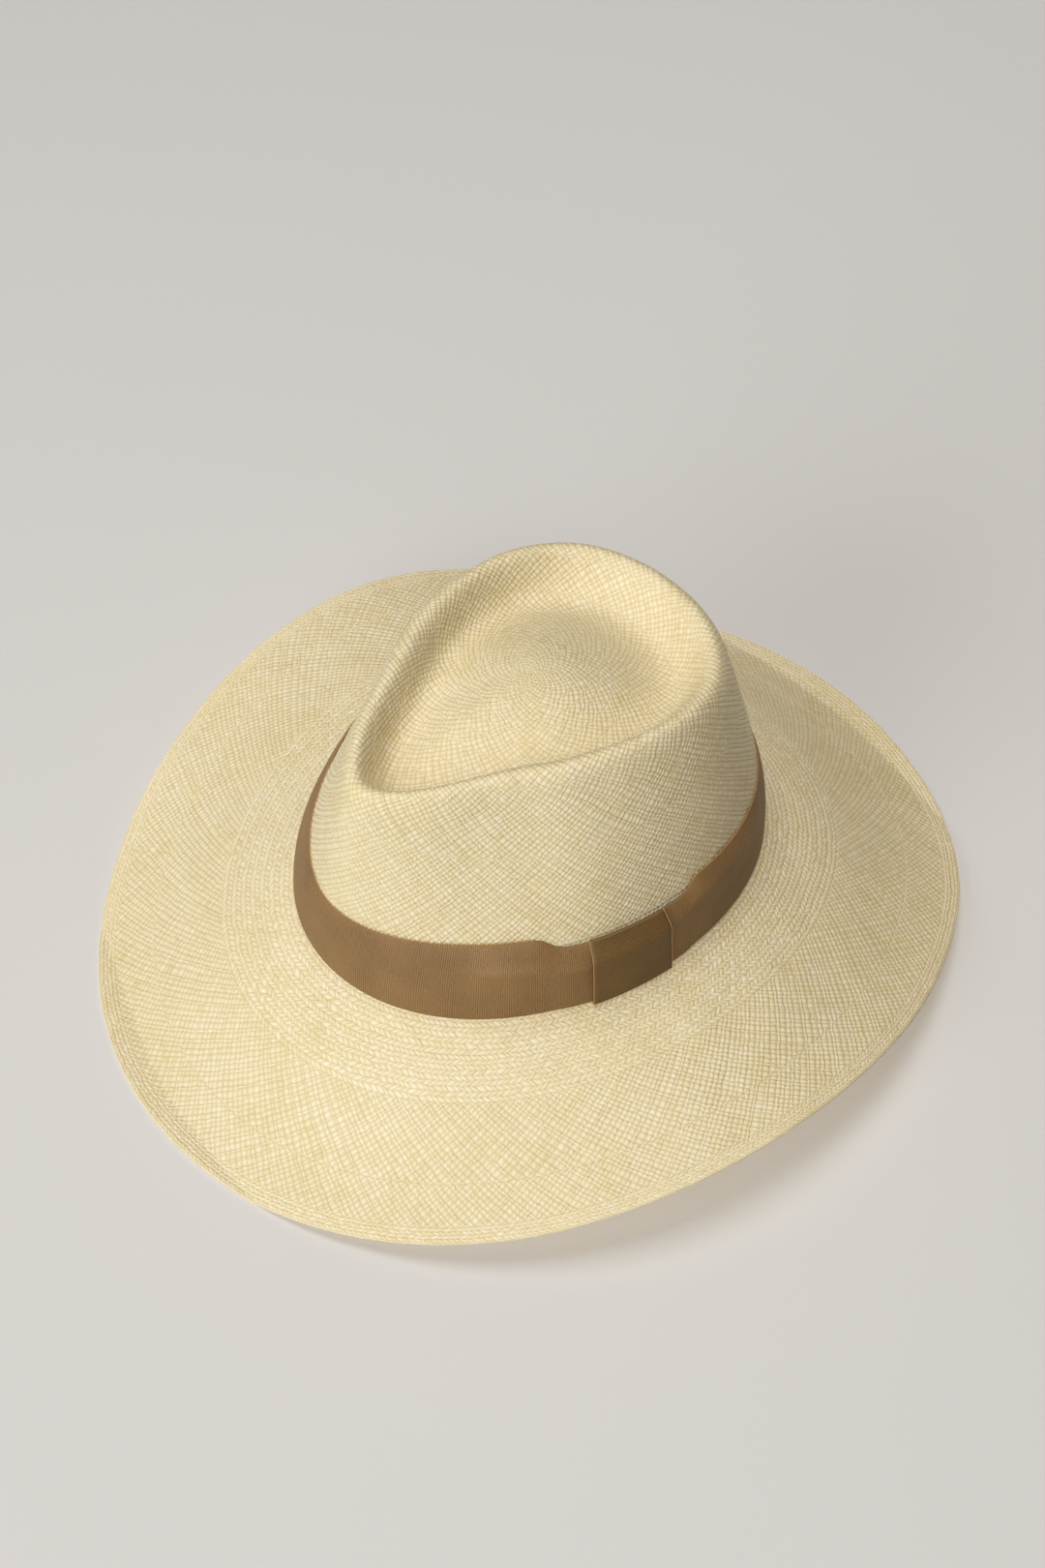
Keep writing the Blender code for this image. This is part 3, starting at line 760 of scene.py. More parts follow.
def weave_zone(count, edges, first_row, face, steps, random, look, put):
    """One zone of the weave: rows of slanting strand faces that change direction from row to row.

    put(turn, along, lift) turns the weave's own coordinates into points.
    """
    along_steps, across_steps = (np.array(s) for s in steps)
    rows, s_count, t_count = len(edges) - 1, len(along_steps), len(across_steps)
    edges = np.array(edges)
    j, i = np.arange(rows), np.arange(count)
    lean = np.where((first_row + j) % 2 == 0, 1, -1) * face
    round_shift, along_shift = crossings(rows, count, random, look["waver"])

    jj = j[:, None, None, None]
    ii = i[None, None, :, None]
    s = along_steps[None, :, None, None]
    t = across_steps[None, None, None, :]
    d = lean[:, None, None, None]

    def strayed(shift):
        near = shift[jj, ii] * (1 - t) + shift[jj, (ii + 1) % count] * t
        far = shift[jj + 1, (ii + d) % count] * (1 - t) + shift[jj + 1, (ii + 1 + d) % count] * t
        return near * (1 - s) + far * s

    turn = (ii + t + d * s + strayed(round_shift)) / count
    height = (edges[1:] - edges[:-1])[:, None, None, None]
    along = edges[:-1][:, None, None, None] + (s + strayed(along_shift)) * height

    # Strands keep their own thickness, shade and tilt along their whole length.
    strand = (i[None, :] - lean[:, None] * j[:, None]) % count
    kinds = (lean > 0).astype(int)[:, None]

    def varied(by_strand, by_place):
        own = by_strand * random.normal(size=(2, count))[kinds, strand]
        return own + by_place * random.normal(size=(rows, count))

    thickness = 1 + varied(THICKNESS_BY_STRAND, 0.1)
    tilt = varied(TILT_BY_STRAND, TILT_BY_PLACE)
    shade = varied(SHADE_BY_STRAND, SHADE_BY_PLACE)

    crown = (1 - np.abs(2 * t - 1) ** 4) * np.sin(math.pi * s) ** 0.35
    lift = -look["valley"] + look["bulge"] * crown * thickness[:, None, :, None]
    lift = lift + look["tilt"] * tilt[:, None, :, None] * (t - 0.5) * (crown > 0.01)

    turn_at, along_at = np.broadcast_arrays(i[None, :] / count, edges[:-1][:, None])
    where = put(turn_at, along_at, np.zeros((rows, count)))
    depth = np.zeros_like(lift)
    depth[:, 0, :, 0] = pinholes(where, random, look)
    # Painted shade: gap darkens the colour towards the valleys between strands, and most in pinholes.
    gap = np.maximum(look["shade"] * (1 - crown), PINHOLE_SHADE * depth)
    lift = lift - look["hole_depth"] * depth

    last_turn = (i[:, None] + across_steps[None, :]) / count
    shape = (rows * s_count, count * t_count)

    def ended(values, last):
        """Lays the values out as a grid and adds the points of the zone's last ring."""
        grid = np.broadcast_to(values, lift.shape).reshape(shape)
        return np.concatenate([grid, np.broadcast_to(last, (1, shape[1]))])

    turn, along = ended(turn, last_turn.reshape(1, -1)), ended(along, edges[-1])
    gap, lift = ended(gap, look["shade"]), ended(lift, -look["valley"])
    # The first ring tucks under the zone before it.
    along[0] -= look["tuck"]
    lift[0] -= UNDER
    points = put(turn, along, face * lift)

    columns = shape[1]
    c = np.arange(columns)[None, :]
    a = np.arange(shape[0])[:, None]
    shift = np.where(a % s_count == s_count - 1, t_count * lean[a // s_count], 0)
    near, nearer = a * columns + c, a * columns + (c + 1) % columns
    far = (a + 1) * columns + (c + shift) % columns
    farther = (a + 1) * columns + (c + 1 + shift) % columns
    faces = stack_corners((near, far, farther, nearer) if face > 0 else (near, nearer, farther, far))
    tone = np.repeat(np.repeat(strand_tones(where, shade, look), s_count, axis=0), t_count, axis=1)
    return points, faces, {"straw_gap_shade": gap}, {"straw_tone": tone}


def weave_crossed(count, edges, face, steps, random, look, put):
    """One zone of slanting strands that cross one by one, and so show as rings of small diamonds."""
    stops = np.array(steps[0] + (1.0,))
    rows, n = len(edges) - 1, len(stops)
    edges = np.array(edges)
    y, i = np.arange(rows + 1)[:, None], np.arange(count)[None, :]
    x = 2 * i + (y + 1) % 2

    # Strands stray as wholes and a little at each crossing. Crossings lie where x + y is even.
    rising = random.normal(size=count) * look["waver"]
    falling = random.normal(size=count) * look["waver"]
    loose = random.normal(size=(2, rows + 1, count)) * look["waver"] * STRAY_BY_PLACE
    free = np.where((y == 0) | (y == rows), 0.0, 1.0)

    def crossing(x, y):
        """Where a crossing lies, and whether the zone has it."""
        up, down = ((x - y) // 2) % count, ((x + y) // 2) % count
        here = (x // 2) % count
        inside = (y >= 0) & (y <= rows)
        y = np.clip(y, 0, rows)
        side = np.clip(rising[up] + falling[down] + loose[0][y, here], -FURTHEST_STRAY, FURTHEST_STRAY)
        tall = np.clip(falling[down] - rising[up] + loose[1][y, here], -FURTHEST_STRAY, FURTHEST_STRAY)
        return np.stack([x + side * 2, y + tall * 2 * free[y, 0]], axis=-1), inside

    left, right = crossing(x - 1, y + 0 * x)[0], crossing(x + 1, y + 0 * x)[0]
    low, has_low = crossing(x, y - 1 + 0 * x)
    high, has_high = crossing(x, y + 1 + 0 * x)
    half = (left + right) / 2
    low = np.where(has_low[..., None], low, half)
    high = np.where(has_high[..., None], high, half)
    # A diamond's left, lower, right and upper corners.
    around = ((-1, 0), (0, -1), (1, 0), (0, 1))
    plain = [np.stack([x + a, np.clip(y + b, 0, rows) + 0 * x], axis=-1).astype(float) for a, b in around]

    s, t = stops[None, None, :, None, None], stops[None, None, None, :, None]

    def spread(corners):
        """Points evenly inside a diamond."""
        l, b, r, h = (c[:, :, None, None, :] for c in corners)
        return l * (1 - s) * (1 - t) + b * s * (1 - t) + r * s * t + h * (1 - s) * t

    where, key = spread((left, low, right, high)), spread(plain)
    turn = where[..., 0] / (2 * count)
    along = np.interp(where[..., 1], np.arange(rows + 1), edges)

    # A rising strand lies on top in every second ring, and a falling one in the rings between.
    on_top = (y + 0 * x) % 2
    strand = np.where(on_top == 1, ((x - y) // 2) % count, ((x + y) // 2) % count)
    own = random.normal(size=(3, 2, count))
    loose = random.normal(size=(3,) + x.shape)
    thickness = 1 + THICKNESS_BY_STRAND * own[0][on_top, strand] + 0.12 * loose[0]
    tilt = TILT_BY_STRAND * own[1][on_top, strand] + TILT_BY_PLACE * loose[1]
    shade = SHADE_BY_STRAND * own[2][on_top, strand] + SHADE_BY_PLACE * loose[2]
    s, t = s[..., 0], t[..., 0]
    rises = (on_top == 1)[:, :, None, None]
    length, width = np.where(rises, t, s), np.where(rises, s, t)
    crown = (1 - np.abs(2 * width - 1) ** 4) * np.sin(math.pi * length).clip(0, 1) ** 0.5
    lift = -look["valley"] + look["bulge"] * crown * thickness[:, :, None, None]
    lift = lift + look["tilt"] * tilt[:, :, None, None] * (width - 0.5) * (crown > 0.01)
    # Painted shade: gap darkens the colour towards the valleys between strands.
    gap = look["shade"] * (1 - crown)

    middle = put((x % (2 * count)) / (2 * count), np.broadcast_to(edges[:, None], x.shape), np.zeros(x.shape))
    hole = pinholes(middle, random, look)
    # Pinholes are sunk and painted dark: painted shade.
    for (a, b), (dx, dy) in zip(((0, 0), (-1, 0), (-1, -1), (0, -1)), around):
        there = np.clip(y + dy, 0, rows)
        pit = hole[there, ((x + dx) // 2) % count] & (there > 0) & (there < rows)
        gap[:, :, a, b] = np.where(pit, PINHOLE_SHADE, gap[:, :, a, b])
        lift[:, :, a, b] -= np.where(pit, look["hole_depth"], 0.0)
    at_start = key[..., 1] < 0.01
    along = along - np.where(at_start, look["tuck"], 0.0)
    lift = lift - np.where(at_start, UNDER, 0.0)

    # Neighbouring diamonds share the points of their common sides.
    fine = 1000
    wide = 2 * count * fine
    codes = np.round((key[..., 0] % (2 * count)) * fine) % wide + np.round(key[..., 1] * fine) * 2 * wide
    _, first, which = np.unique(codes.ravel(), return_index=True, return_inverse=True)
    points = put(turn.ravel()[first], along.ravel()[first], face * lift.ravel()[first])
    grid = which.reshape(x.shape + (n, n))
    corners = [grid[:, :, :-1, :-1], grid[:, :, 1:, :-1], grid[:, :, 1:, 1:], grid[:, :, :-1, 1:]]
    faces = stack_corners(corners[::-1] if face > 0 else corners)
    tone = np.repeat(strand_tones(middle, shade, look).ravel(), (n - 1) ** 2)
    return points, faces, {"straw_gap_shade": gap.ravel()[first]}, {"straw_tone": tone}


def weave_look(size, **changes):
    """The strands' relief in millimetres, and their unevenness, tone and the painted shade between them as
    shares.
    """
    look = {
        "waver": size.straw_waver,
        "bulge": size.straw_bulge,
        "valley": 0.07,
        "tilt": 0.08,
        "tones": size.straw_variation,
        "holes": 0.0,
        "hole_group": 26.0,
        "hole_depth": 0.35,
        # How dark the valleys between strands are painted: painted shade.
        "shade": 0.58,
    }
    return {**look, **changes}


def sheet_swell(size, points):
    """How far the whole straw sheet rises or falls, in broad and in smaller waves."""
    return size.straw_swell * (ripple(points, 34.0, 11) + 0.45 * ripple(points, 11.0, 12))


def weave_face(hat, size, face, steps, seed, scale=1.0):
    """The whole outer or inner face of the weave, as gathered zones."""
    random = np.random.default_rng(seed)
    back = 0.0 if face > 0 else -STRAW
    look = weave_look(size, holes=0.07 if face > 0 else 0.0, tuck=0.3 / hat.crown_run)

    def put(turn, along, lift):
        swell = sheet_swell(size, hat.at(turn, along, lift + back))
        points = hat.at(turn, along, lift + back + swell)
        points[..., 2] = np.maximum(points[..., 2], OFF_FLOOR)
        return points

    made = Gathered()
    row = 0
    fine, coarse = size.strand_pitch_fine * scale, size.strand_pitch_coarse * scale
    for kind, count, edges in plan_zones(hat, fine, coarse, size.edge_coarseness):
        if kind in ("crossed", "loose"):
            made.add(*weave_crossed(count, edges, face, steps, random, look, put))
        else:
            made.add(*weave_zone(count, edges, row, face, steps, random, look, put))
        row += len(edges) - 1
    return made


def weave_rim(hat, size, made, seed):
    """The back-woven edge, which wraps the rim with short slanting strands."""
    random = np.random.default_rng(seed)
    half = STRAW / 2
    look = weave_look(size, waver=0.05, bulge=0.22, valley=0.05, tilt=0.1, shade=0.4, tuck=0.02)

    def put(turn, wrap, lift):
        edge = np.full(np.shape(turn), 2.0)
        top = hat.at(turn, edge, np.zeros_like(edge))
        middle = hat.at(turn, edge, np.full_like(edge, -half))
        inner = hat.at(turn, edge - 0.01, np.full_like(edge, -half))
        up = (top - middle) / half
        out = middle - inner
        out /= np.linalg.norm(out, axis=-1, keepdims=True)
        angle = np.clip(wrap, 0, 1) * math.pi
        reach = (half + lift)[..., None]
        points = middle + (up * np.cos(angle)[..., None] + out * np.sin(angle)[..., None]) * reach
        points += up * sheet_swell(size, middle)[..., None]
        points[..., 2] = np.maximum(points[..., 2], OFF_FLOOR)
        return points

    count = int(round(hat.ring_length(2.0) / 2.6))
    made.add(*weave_zone(count, [0, 1 / 3, 2 / 3, 1.0], 0, 1, OUTSIDE_STEPS, random, look, put))


@functools.cache
def the_hat():
    """The blocked shape, worked out once."""
    return BlockedHat()


class HatStraw(bpy.types.PropertyGroup):
    """Sizes of the straw weave."""

    strand_pitch_fine: FloatProperty(
        name="Finest strand pitch",
        description="Spacing of strands round the hat after more are added, mm",
        default=2.6, min=0.5, max=6.0,
    )
    strand_pitch_coarse: FloatProperty(
        name="Widest strand pitch",
        description="Spacing at which more strands are added, mm",
        default=3.1, min=0.6, max=8.0,
    )
    edge_coarseness: FloatProperty(
        name="Edge coarseness",
        description="How much wider the strands lie at the brim's edge, as a share",
        default=0.12, min=0.0, max=2.0,
    )
    straw_bulge: FloatProperty(
        name="Strand bulge",
        description="How far a strand's face stands above the valleys, mm",
        default=0.34, min=0.0, max=1.0,
    )
    straw_waver: FloatProperty(
        name="Waver",
        description="How far strands stray from an even spacing, in pitches",
        default=0.09, min=0.0, max=0.3,
    )
    straw_variation: FloatProperty(
        name="Shade variation",
        description="How much strands differ in shade",
        default=0.09, min=0.0, max=0.6,
    )
    straw_swell: FloatProperty(
        name="Swell", description="Slow unevenness of the whole sheet, mm", default=0.16, min=0.0, max=0.3
    )


class HatRibbon(bpy.types.PropertyGroup):
    """Sizes of the ribbon trim."""

    rib_pitch: FloatProperty(
        name="Rib pitch", description="Spacing of the ribbon's ribs, mm", default=0.88, min=0.5, max=3.0
    )
    rib_depth: FloatProperty(
        name="Rib depth",
        description="Depth of the grooves between ribs, mm",
        default=0.17, min=0.0, max=0.4,
    )


class HatStage(bpy.types.PropertyGroup):
    """The camera and the floor."""

    azimuth: FloatProperty(
        name="Azimuth", description="Camera direction round the hat, degrees", default=52.0
    )
    elevation: FloatProperty(
        name="Elevation", description="Camera height above the horizon, degrees", default=50.44
    )
    distance: FloatProperty(name="Distance", description="Camera distance", default=1.2737, unit="LENGTH")
    target_height: FloatProperty(
        name="Target height", description="Height of the point looked at", default=0.0612, unit="LENGTH"
    )
    lens: FloatProperty(name="Lens", description="Focal length, mm", default=70.0)
    floor_colour: FloatVectorProperty(
        name="Floor", description="Colour of the floor", subtype="COLOR", size=4, default=linear("#d8d6d3")
    )


class HAT_OT_straw(bpy.types.Operator):
    """Weave the crown and brim"""

    bl_idname = "hat.straw"
    bl_label = "Straw body"

    def execute(self, context):
        size = context.scene.hat_straw
        hat = the_hat()
        straw = toquilla_straw("toquilla_straw")
        made = weave_face(hat, size, 1, OUTSIDE_STEPS, 3)
        weave_rim(hat, size, made, 8)
        finish_piece(made.piece("straw_weave_outside", straw), "straw", "straw_body")
        made = weave_face(hat, size, -1, INSIDE_STEPS, 4, scale=1.25)
        finish_piece(made.piece("straw_weave_inside", straw), "straw", "straw_body")
        return {"FINISHED"}


# ---------------------------------------------------------------- the ribbon


# The crown's usual radius under the hatband, and its radius under the keeper.
CROWN_RADIUS = 92.0
RADIUS_AT_KEEPER = 86.0
# The hatband's length is taken round the ring at this share of the way down the crown.
BAND_RING = 0.93
# Each rib is drawn by this many steps.
STEPS_IN_RIB = 4


def band_depth(degrees):
    """How far the hatband's inside stands off the straw, which is more where the keeper passes behind."""
    return BAND_OFF_STRAW + 0.75 * bump(angle_apart(degrees, KEEPER_AT), 15.5, 8.0)


def band_top(degrees):
    """The height of the hatband's top edge above the crown foot, lower where the keeper pinches it."""
    return BAND_LIFT + RIBBON_WIDTH - PINCH * bump(angle_apart(degrees, KEEPER_AT), 19.0, 8.0)


def rib_wave(steps):
    """A rib's rise, and the groove value that paints shade between ribs, at even steps: rounded ribs with
    narrow grooves.
    """
    phase = np.abs(np.sin(math.pi * steps))
    return phase**0.6, (1 - phase) ** 0.85


def picot_loops(hat, degrees, heights, off, up, half, tall, wire, slant):
    """Tiny thread loops that stand out from a ribbon's woven edge, upwards for up = 1 and downwards for -1.

    half is half a loop's width, tall its height and wire its thread's radius. slant leans it sideways.
    """
    loop_steps, round_steps = 7, 5
    a = np.linspace(0, math.pi, loop_steps)
    b = np.arange(round_steps) * 2 * math.pi / round_steps
    reach = half + wire * np.cos(b)[None, :]
    sideways = np.cos(a)[:, None] * reach
    rooted = 0.15
    rise = np.sin(a)[:, None] * (tall + wire * np.cos(b)[None, :]) - rooted
    out = wire * np.sin(b)[None, :] + 0 * sideways
    sideways = sideways + slant * np.clip(rise, 0, None)
    turned = degrees[:, None, None] + np.degrees(sideways / CROWN_RADIUS)[None]
    height = heights[:, None, None] + up * rise[None]
    points = hat.on_wall(turned, height, off[:, None, None] + out[None])
    faces = grid_faces(loop_steps, round_steps, ring=True, flip=up < 0)
    count = loop_steps * round_steps
    all_faces = (faces[None] + np.arange(len(degrees))[:, None, None] * count).reshape(-1, 4)
    return points.reshape(-1, 3), all_faces


class HAT_OT_hatband(bpy.types.Operator):
    """Wrap the ribbon round the crown"""

    bl_idname = "hat.hatband"
    bl_label = "Hatband ribbon"

    def execute(self, context):
        size = context.scene.hat_ribbon
        hat = the_hat()
        start, turn = KEEPER_AT - LAP / 2, 360.0 + LAP
        length = hat.ring_length(BAND_RING) * turn / 360
        ribs = int(round(length / size.rib_pitch))
        steps = np.arange(ribs * STEPS_IN_RIB + 1) / STEPS_IN_RIB
        along = steps / ribs * turn
        degrees = start + along
        rise, groove = rib_wave(steps)
        # The end rides up over the start.
        over = np.clip((along - (turn - LAP - 9.0)) / 8.0, 0.0, 1.0)
        base = band_depth(degrees) + RIBBON / 2 + (RIBBON + GAP) * over
        top = band_top(degrees)
        from_keeper = angle_apart(degrees, KEEPER_AT)
        before_keeper = bump(from_keeper + 26.0, 9.0, 12.0)
        beyond_keeper = bump(from_keeper - 34.0, 16.0, 14.0)

        # From the lower edge to the upper: the top rolls in a little and the middle swells out.
        share = np.concatenate([[0.0, 0.012], np.linspace(0.04, 0.92, 23), [0.95, 0.97, 0.99, 1.0]])
        heights = BAND_LIFT + share[:, None] * (top - BAND_LIFT)[None, :]
        roll = -0.55 * np.clip((share - 0.86) / 0.14, 0, 1) ** 2
        swell = 0.5 * np.sin(math.pi * share) ** 0.7
        slack = 0.25 * np.sin(math.pi * share)[:, None] * np.sin(np.radians(degrees) * 7 + 1.3)[None, :]
        # Pulled tight by the keeper, the ribbon rises in a soft ridge and leans back to the crown above it.
        ridge = np.interp(share, [0.3, 0.6, 0.68, 0.77, 1.0], [0.0, 1.5, 2.3, 1.2, 0.0])
        curl = np.interp(share, [0.4, 0.78, 0.82, 1.0], [0.0, 2.3, 2.4, -0.1])
        pull = ridge[:, None] * before_keeper[None, :] + curl[:, None] * beyond_keeper[None, :]
        off = base[None, :] + roll[:, None] + swell[:, None] + slack + pull
        ribbed = off + RIBBON / 2 + size.rib_depth * (rise - 1)[None, :]
        outer = hat.on_wall(degrees[None, :], heights, ribbed)
        inner = hat.on_wall(degrees[None, :], heights[::-1], (off - RIBBON / 2)[::-1])
        points = np.concatenate([outer, inner])
        rows, columns = points.shape[:2]
        caps = end_caps(2, rows)
        caps = caps % rows * columns + caps // rows * (columns - 1)
        faces = np.concatenate([closed_faces(rows, columns, ring=False), caps])[:, ::-1]
        # Painted shade: the grooves between ribs darken the ribbon's colour.
        grooves = np.broadcast_to(groove, (rows, columns))
        cloth = grosgrain("hatband_grosgrain", "#432d14", "#ac8653")
        band = make_piece("hatband", points, faces, cloth, {"rib_groove_shade": grooves})
        finish_piece(band, "ribbon", "hatband_ribbon")

        thread = spun_thread("picot_thread", "#946c38", "#c99e60")
        picots = Gathered()
        # Large loops on every second rib of the upper edge, except where it is rolled in. Small ones below.
        each = np.arange(STEPS_IN_RIB // 2, len(degrees), STEPS_IN_RIB)
        second = each[::2]
        rolled_in = (from_keeper[second] > -27) & (from_keeper[second] < 24)
        second = second[~rolled_in]
        for row, up, k, half, tall, wire in (
            (-1, 1, second, size.rib_pitch * 0.7, 0.7, 0.24),
            (0, -1, each, size.rib_pitch * 0.36, 0.25, 0.17),
        ):
            picots.add(
                *picot_loops(hat, degrees[k], heights[row][k], off[row][k], up, half, tall, wire, 0.4 * up)
            )
        edge = finish_piece(picots.piece("hatband_picots", thread), "ribbon")
        return {"FINISHED"}


class HAT_OT_keeper(bpy.types.Operator):
    """Fold the short ribbon over the hatband's lap"""

    bl_idname = "hat.keeper"
    bl_label = "Bow keeper"

    def execute(self, context):
        size = context.scene.hat_ribbon
        hat = the_hat()
        half = math.degrees(KEEPER_WIDTH / 2 / RADIUS_AT_KEEPER)
        across = np.linspace(-1, 1, 25)
        degrees = KEEPER_AT + half * across
        depth = band_depth(degrees)
        inside = depth - GAP - RIBBON / 2
        outside = depth + 2 * RIBBON + 2 * GAP + RIBBON / 2 + 0.5
        top, bottom = band_top(degrees) + 0.9, BAND_LIFT - 0.9 + 0 * degrees
        # The loop goes up the front, over the top, down behind, and under the bottom. Its front swells
        # outwards as it rises, and then turns in over the hatband's pinched edge.
        front = np.linspace(0, 1, 120)[:, None]
        profile = np.interp(
            front, [0.0, 0.08, 0.3, 0.6, 0.77, 0.81, 0.85, 1.0], [0.0, 0.5, 1.0, 1.8, 3.0, 3.2, 2.7, -0.6]
        )
        front_h = bottom + 1.0 + (top - bottom - 2.0) * front
        front_o = outside + profile * (1 - 0.2 * across**2)[None, :]
        a = np.radians(np.linspace(15, 165, 9))[:, None]
        over_top_mid = (front_o[-1] + inside) / 2
        over_reach = (front_o[-1] - inside) / 2
        over_h = top - 1.0 + np.sin(a)
        over_o = over_top_mid + over_reach * np.cos(a)
        back_h = front_h[::-1][::6]
        back_o = inside + 0 * back_h
        under_mid = (front_o[0] + inside) / 2
        under_reach = (front_o[0] - inside) / 2
        under_h = bottom + 1.0 - np.sin(a)
        under_o = under_mid - under_reach * np.cos(a)
        h = np.concatenate([front_h, over_h, back_h, under_h])
        o = np.concatenate([front_o, over_o, back_o, under_o])
        # Even steps along the loop, so that the ribs keep their pitch.
        mid = h.shape[1] // 2
        gone = np.concatenate([[0], np.cumsum(np.hypot(np.diff(h[:, mid]), np.diff(o[:, mid])))])
        gap = math.hypot(h[0, mid] - h[-1, mid], o[0, mid] - o[-1, mid])
        total = gone[-1] + gap
        ribs = int(round(total / size.rib_pitch))
        steps = np.arange(ribs * STEPS_IN_RIB) / STEPS_IN_RIB
        stops = steps / ribs * total
        whole = np.append(gone, total)
        h, o = (
            np.stack([np.interp(stops, whole, np.append(column, column[0])) for column in grid.T], axis=1)
            for grid in (h, o)
        )
        rise, groove = rib_wave(steps)
        middle = hat.on_wall(degrees[None, :], h, o)
        along = np.roll(middle, -1, axis=0) - np.roll(middle, 1, axis=0)
        sideways = np.gradient(middle, axis=1)
        normal = np.cross(sideways, along)
        normal /= np.linalg.norm(normal, axis=-1, keepdims=True)
        thick = (RIBBON - 0.1) / 2
        outer = middle + normal * (thick + size.rib_depth * (rise - 1))[:, None, None]
        inner = middle - normal * thick
        edge_l = (outer[:, :1] + inner[:, :1]) / 2 - sideways[:, :1] * 0.08
        edge_r = (outer[:, -1:] + inner[:, -1:]) / 2 + sideways[:, -1:] * 0.08
        shell = np.concatenate([outer, edge_r, inner[:, ::-1], edge_l], axis=1)
        faces = closed_faces(*shell.shape[:2])[:, ::-1]
        # Painted shade: the grooves between ribs darken the colour, and the keeper is the hatband's ribbon in
        # darker colours, as it turns away from the window light.
        grooves = np.repeat(groove[:, None], shell.shape[1], axis=1)
        cloth = grosgrain("keeper_grosgrain_painted_shade", "#33220c", "#8b6a38")
        made = make_piece("keeper", shell, faces, cloth, {"rib_groove_shade": grooves})
        finish_piece(made, "ribbon", "bow_keeper")

        # The ribbon's woven edges: a bright cord down each side.
        cords = Gathered()
        for column, side in ((0, -1), (-1, 1)):
            line = middle[:, column] + sideways[:, column] * 0.12 * side
            along_line = np.roll(line, -1, axis=0) - np.roll(line, 1, axis=0)
            along_line /= np.linalg.norm(along_line, axis=-1, keepdims=True)
            out = normal[:, None, column]
            flat = np.cross(along_line[:, None], out)
            b = (np.arange(6) * math.pi / 3)[None, :, None]
            radius = 0.27 + 0.05 * rise[:, None, None]
            ring = line[:, None] + radius * (out * np.cos(b) + flat * np.sin(b))
            cords.add(ring, closed_faces(*ring.shape[:2]))
        # Painted shade: the picots' thread in darker colours, as the keeper turns away from the window light.
        thread = spun_thread("keeper_edge_thread_painted_shade", "#7d5a30", "#b98c52")
        edge = finish_piece(cords.piece("keeper_edges", thread), "ribbon")
        return {"FINISHED"}


# ---------------------------------------------------------------- inside the crown


def strip_on_wall(hat, degrees, heights, offs, thickness):
    """A strip of soft material on the wall, as a closed skin with rounded edges."""
    points = []
    last = len(heights) - 1
    for side, order in ((1, range(last + 1)), (-1, range(last, -1, -1))):
        for k in order:
            edge = 0.35 if k in (0, last) else 1.0
            points.append(hat.on_wall(degrees, heights[k], offs[k] + side * edge * thickness / 2))
    points = np.stack(points, axis=1)
    rows, columns = points.shape[:2]
    return points, np.concatenate([grid_faces(rows, columns, ring=True), end_caps(rows, columns)])


class HAT_OT_sweatband(bpy.types.Operator):
    """Line the crown opening with the leather sweatband and its taped reed"""

    bl_idname = "hat.sweatband"
    bl_label = "Sweatband"

    def execute(self, context):
        hat = the_hat()
        leather = tanned_leather("sweatband_leather")
        # The two ends meet at the back, and leave a narrow gap for the seam.
        degrees = np.linspace(180.4, 539.6, 721)
        share = np.concatenate([[0.0, 0.01], np.linspace(0.03, 0.97, 14), [0.99, 1.0]])
        heights = SWEAT_BOTTOM + share * (SWEAT_TOP - SWEAT_BOTTOM)
        depth = SWEAT_IN + LEATHER / 2
        # The free upper edge stands off the straw unevenly, in waves of several lengths.
        waves = (5, 9, 14, 23, 37)
        phases = np.random.default_rng(21).uniform(0, 2 * math.pi, len(waves))
        slack = sum(np.sin(np.radians(degrees) * k + phase) / k for k, phase in zip(waves, phases))
        offs = [-(depth + 0.25 + 0.5 * s * s * (1 + 1.6 * slack)) for s in share]
        points, faces = strip_on_wall(hat, degrees, heights, offs, LEATHER)
        band = make_piece("sweatband", points, faces, leather)
        finish_piece(band, "leather", "sweatband_leather")

        cloth = plain_weave_cloth("cotton_tape", "#b8ab8c", "#e2d8bf")
        degrees = np.linspace(0, 360, 720, endpoint=False)
        reach = REED / 2 + GAP + TAPE / 2
        # The tape's section, as heights and depths: down behind the leather, round the reed and up again.
        line = [(9.0, REED_IN - reach), (5.0, REED_IN - reach), (REED_LIFT + 0.2, REED_IN - reach)]
        for a in np.radians((202, 225, 247, 270, 292, 315, 338)):
            line.append((REED_LIFT + math.sin(a) * reach, REED_IN + math.cos(a) * reach))
        line += [(REED_LIFT + 0.2, REED_IN + reach), (REED_LIFT + 0.9, REED_IN + reach)]
        # The tape is sewn round a curve, so it puckers a little at every stitch.
        pucker = 0.06 * np.sin(np.radians(degrees) * 64)
        middle = np.stack([hat.on_wall(degrees, h + pucker, -d) for h, d in line], axis=1)
        along = np.roll(middle, -1, axis=0) - np.roll(middle, 1, axis=0)
        down = np.gradient(middle, axis=1)
        normal = np.cross(along, down)
        normal /= np.linalg.norm(normal, axis=-1, keepdims=True)
        skin = np.concatenate([middle + normal * TAPE / 2, (middle - normal * TAPE / 2)[:, ::-1]], axis=1)
        tape = make_piece("sweatband_tape", skin, closed_faces(*skin.shape[:2])[:, ::-1], cloth)
        finish_piece(tape, "tape", "reed_tape")

        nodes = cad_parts
        reed = drawn_plastic("reed_plastic")
        thread = spun_thread("sewing_thread", "#a8966c", "#dccda4")
        dress_node(nodes["sweatband_reed"], reed)
        sewn = ("hatband_tack", "keeper_stitch", "reed_tape_seam", "sweatband_seam", "rear_seam_thread")
        for name in sorted(nodes):
            if name.startswith(sewn):
                dress_node(nodes[name], thread)
        return {"FINISHED"}


def dress_node(node, material):
    """Gives a node of the frame its procedural finish and smooth faces."""
    node.data.materials.clear()
    node.data.materials.append(material)
    node.data.shade_smooth()


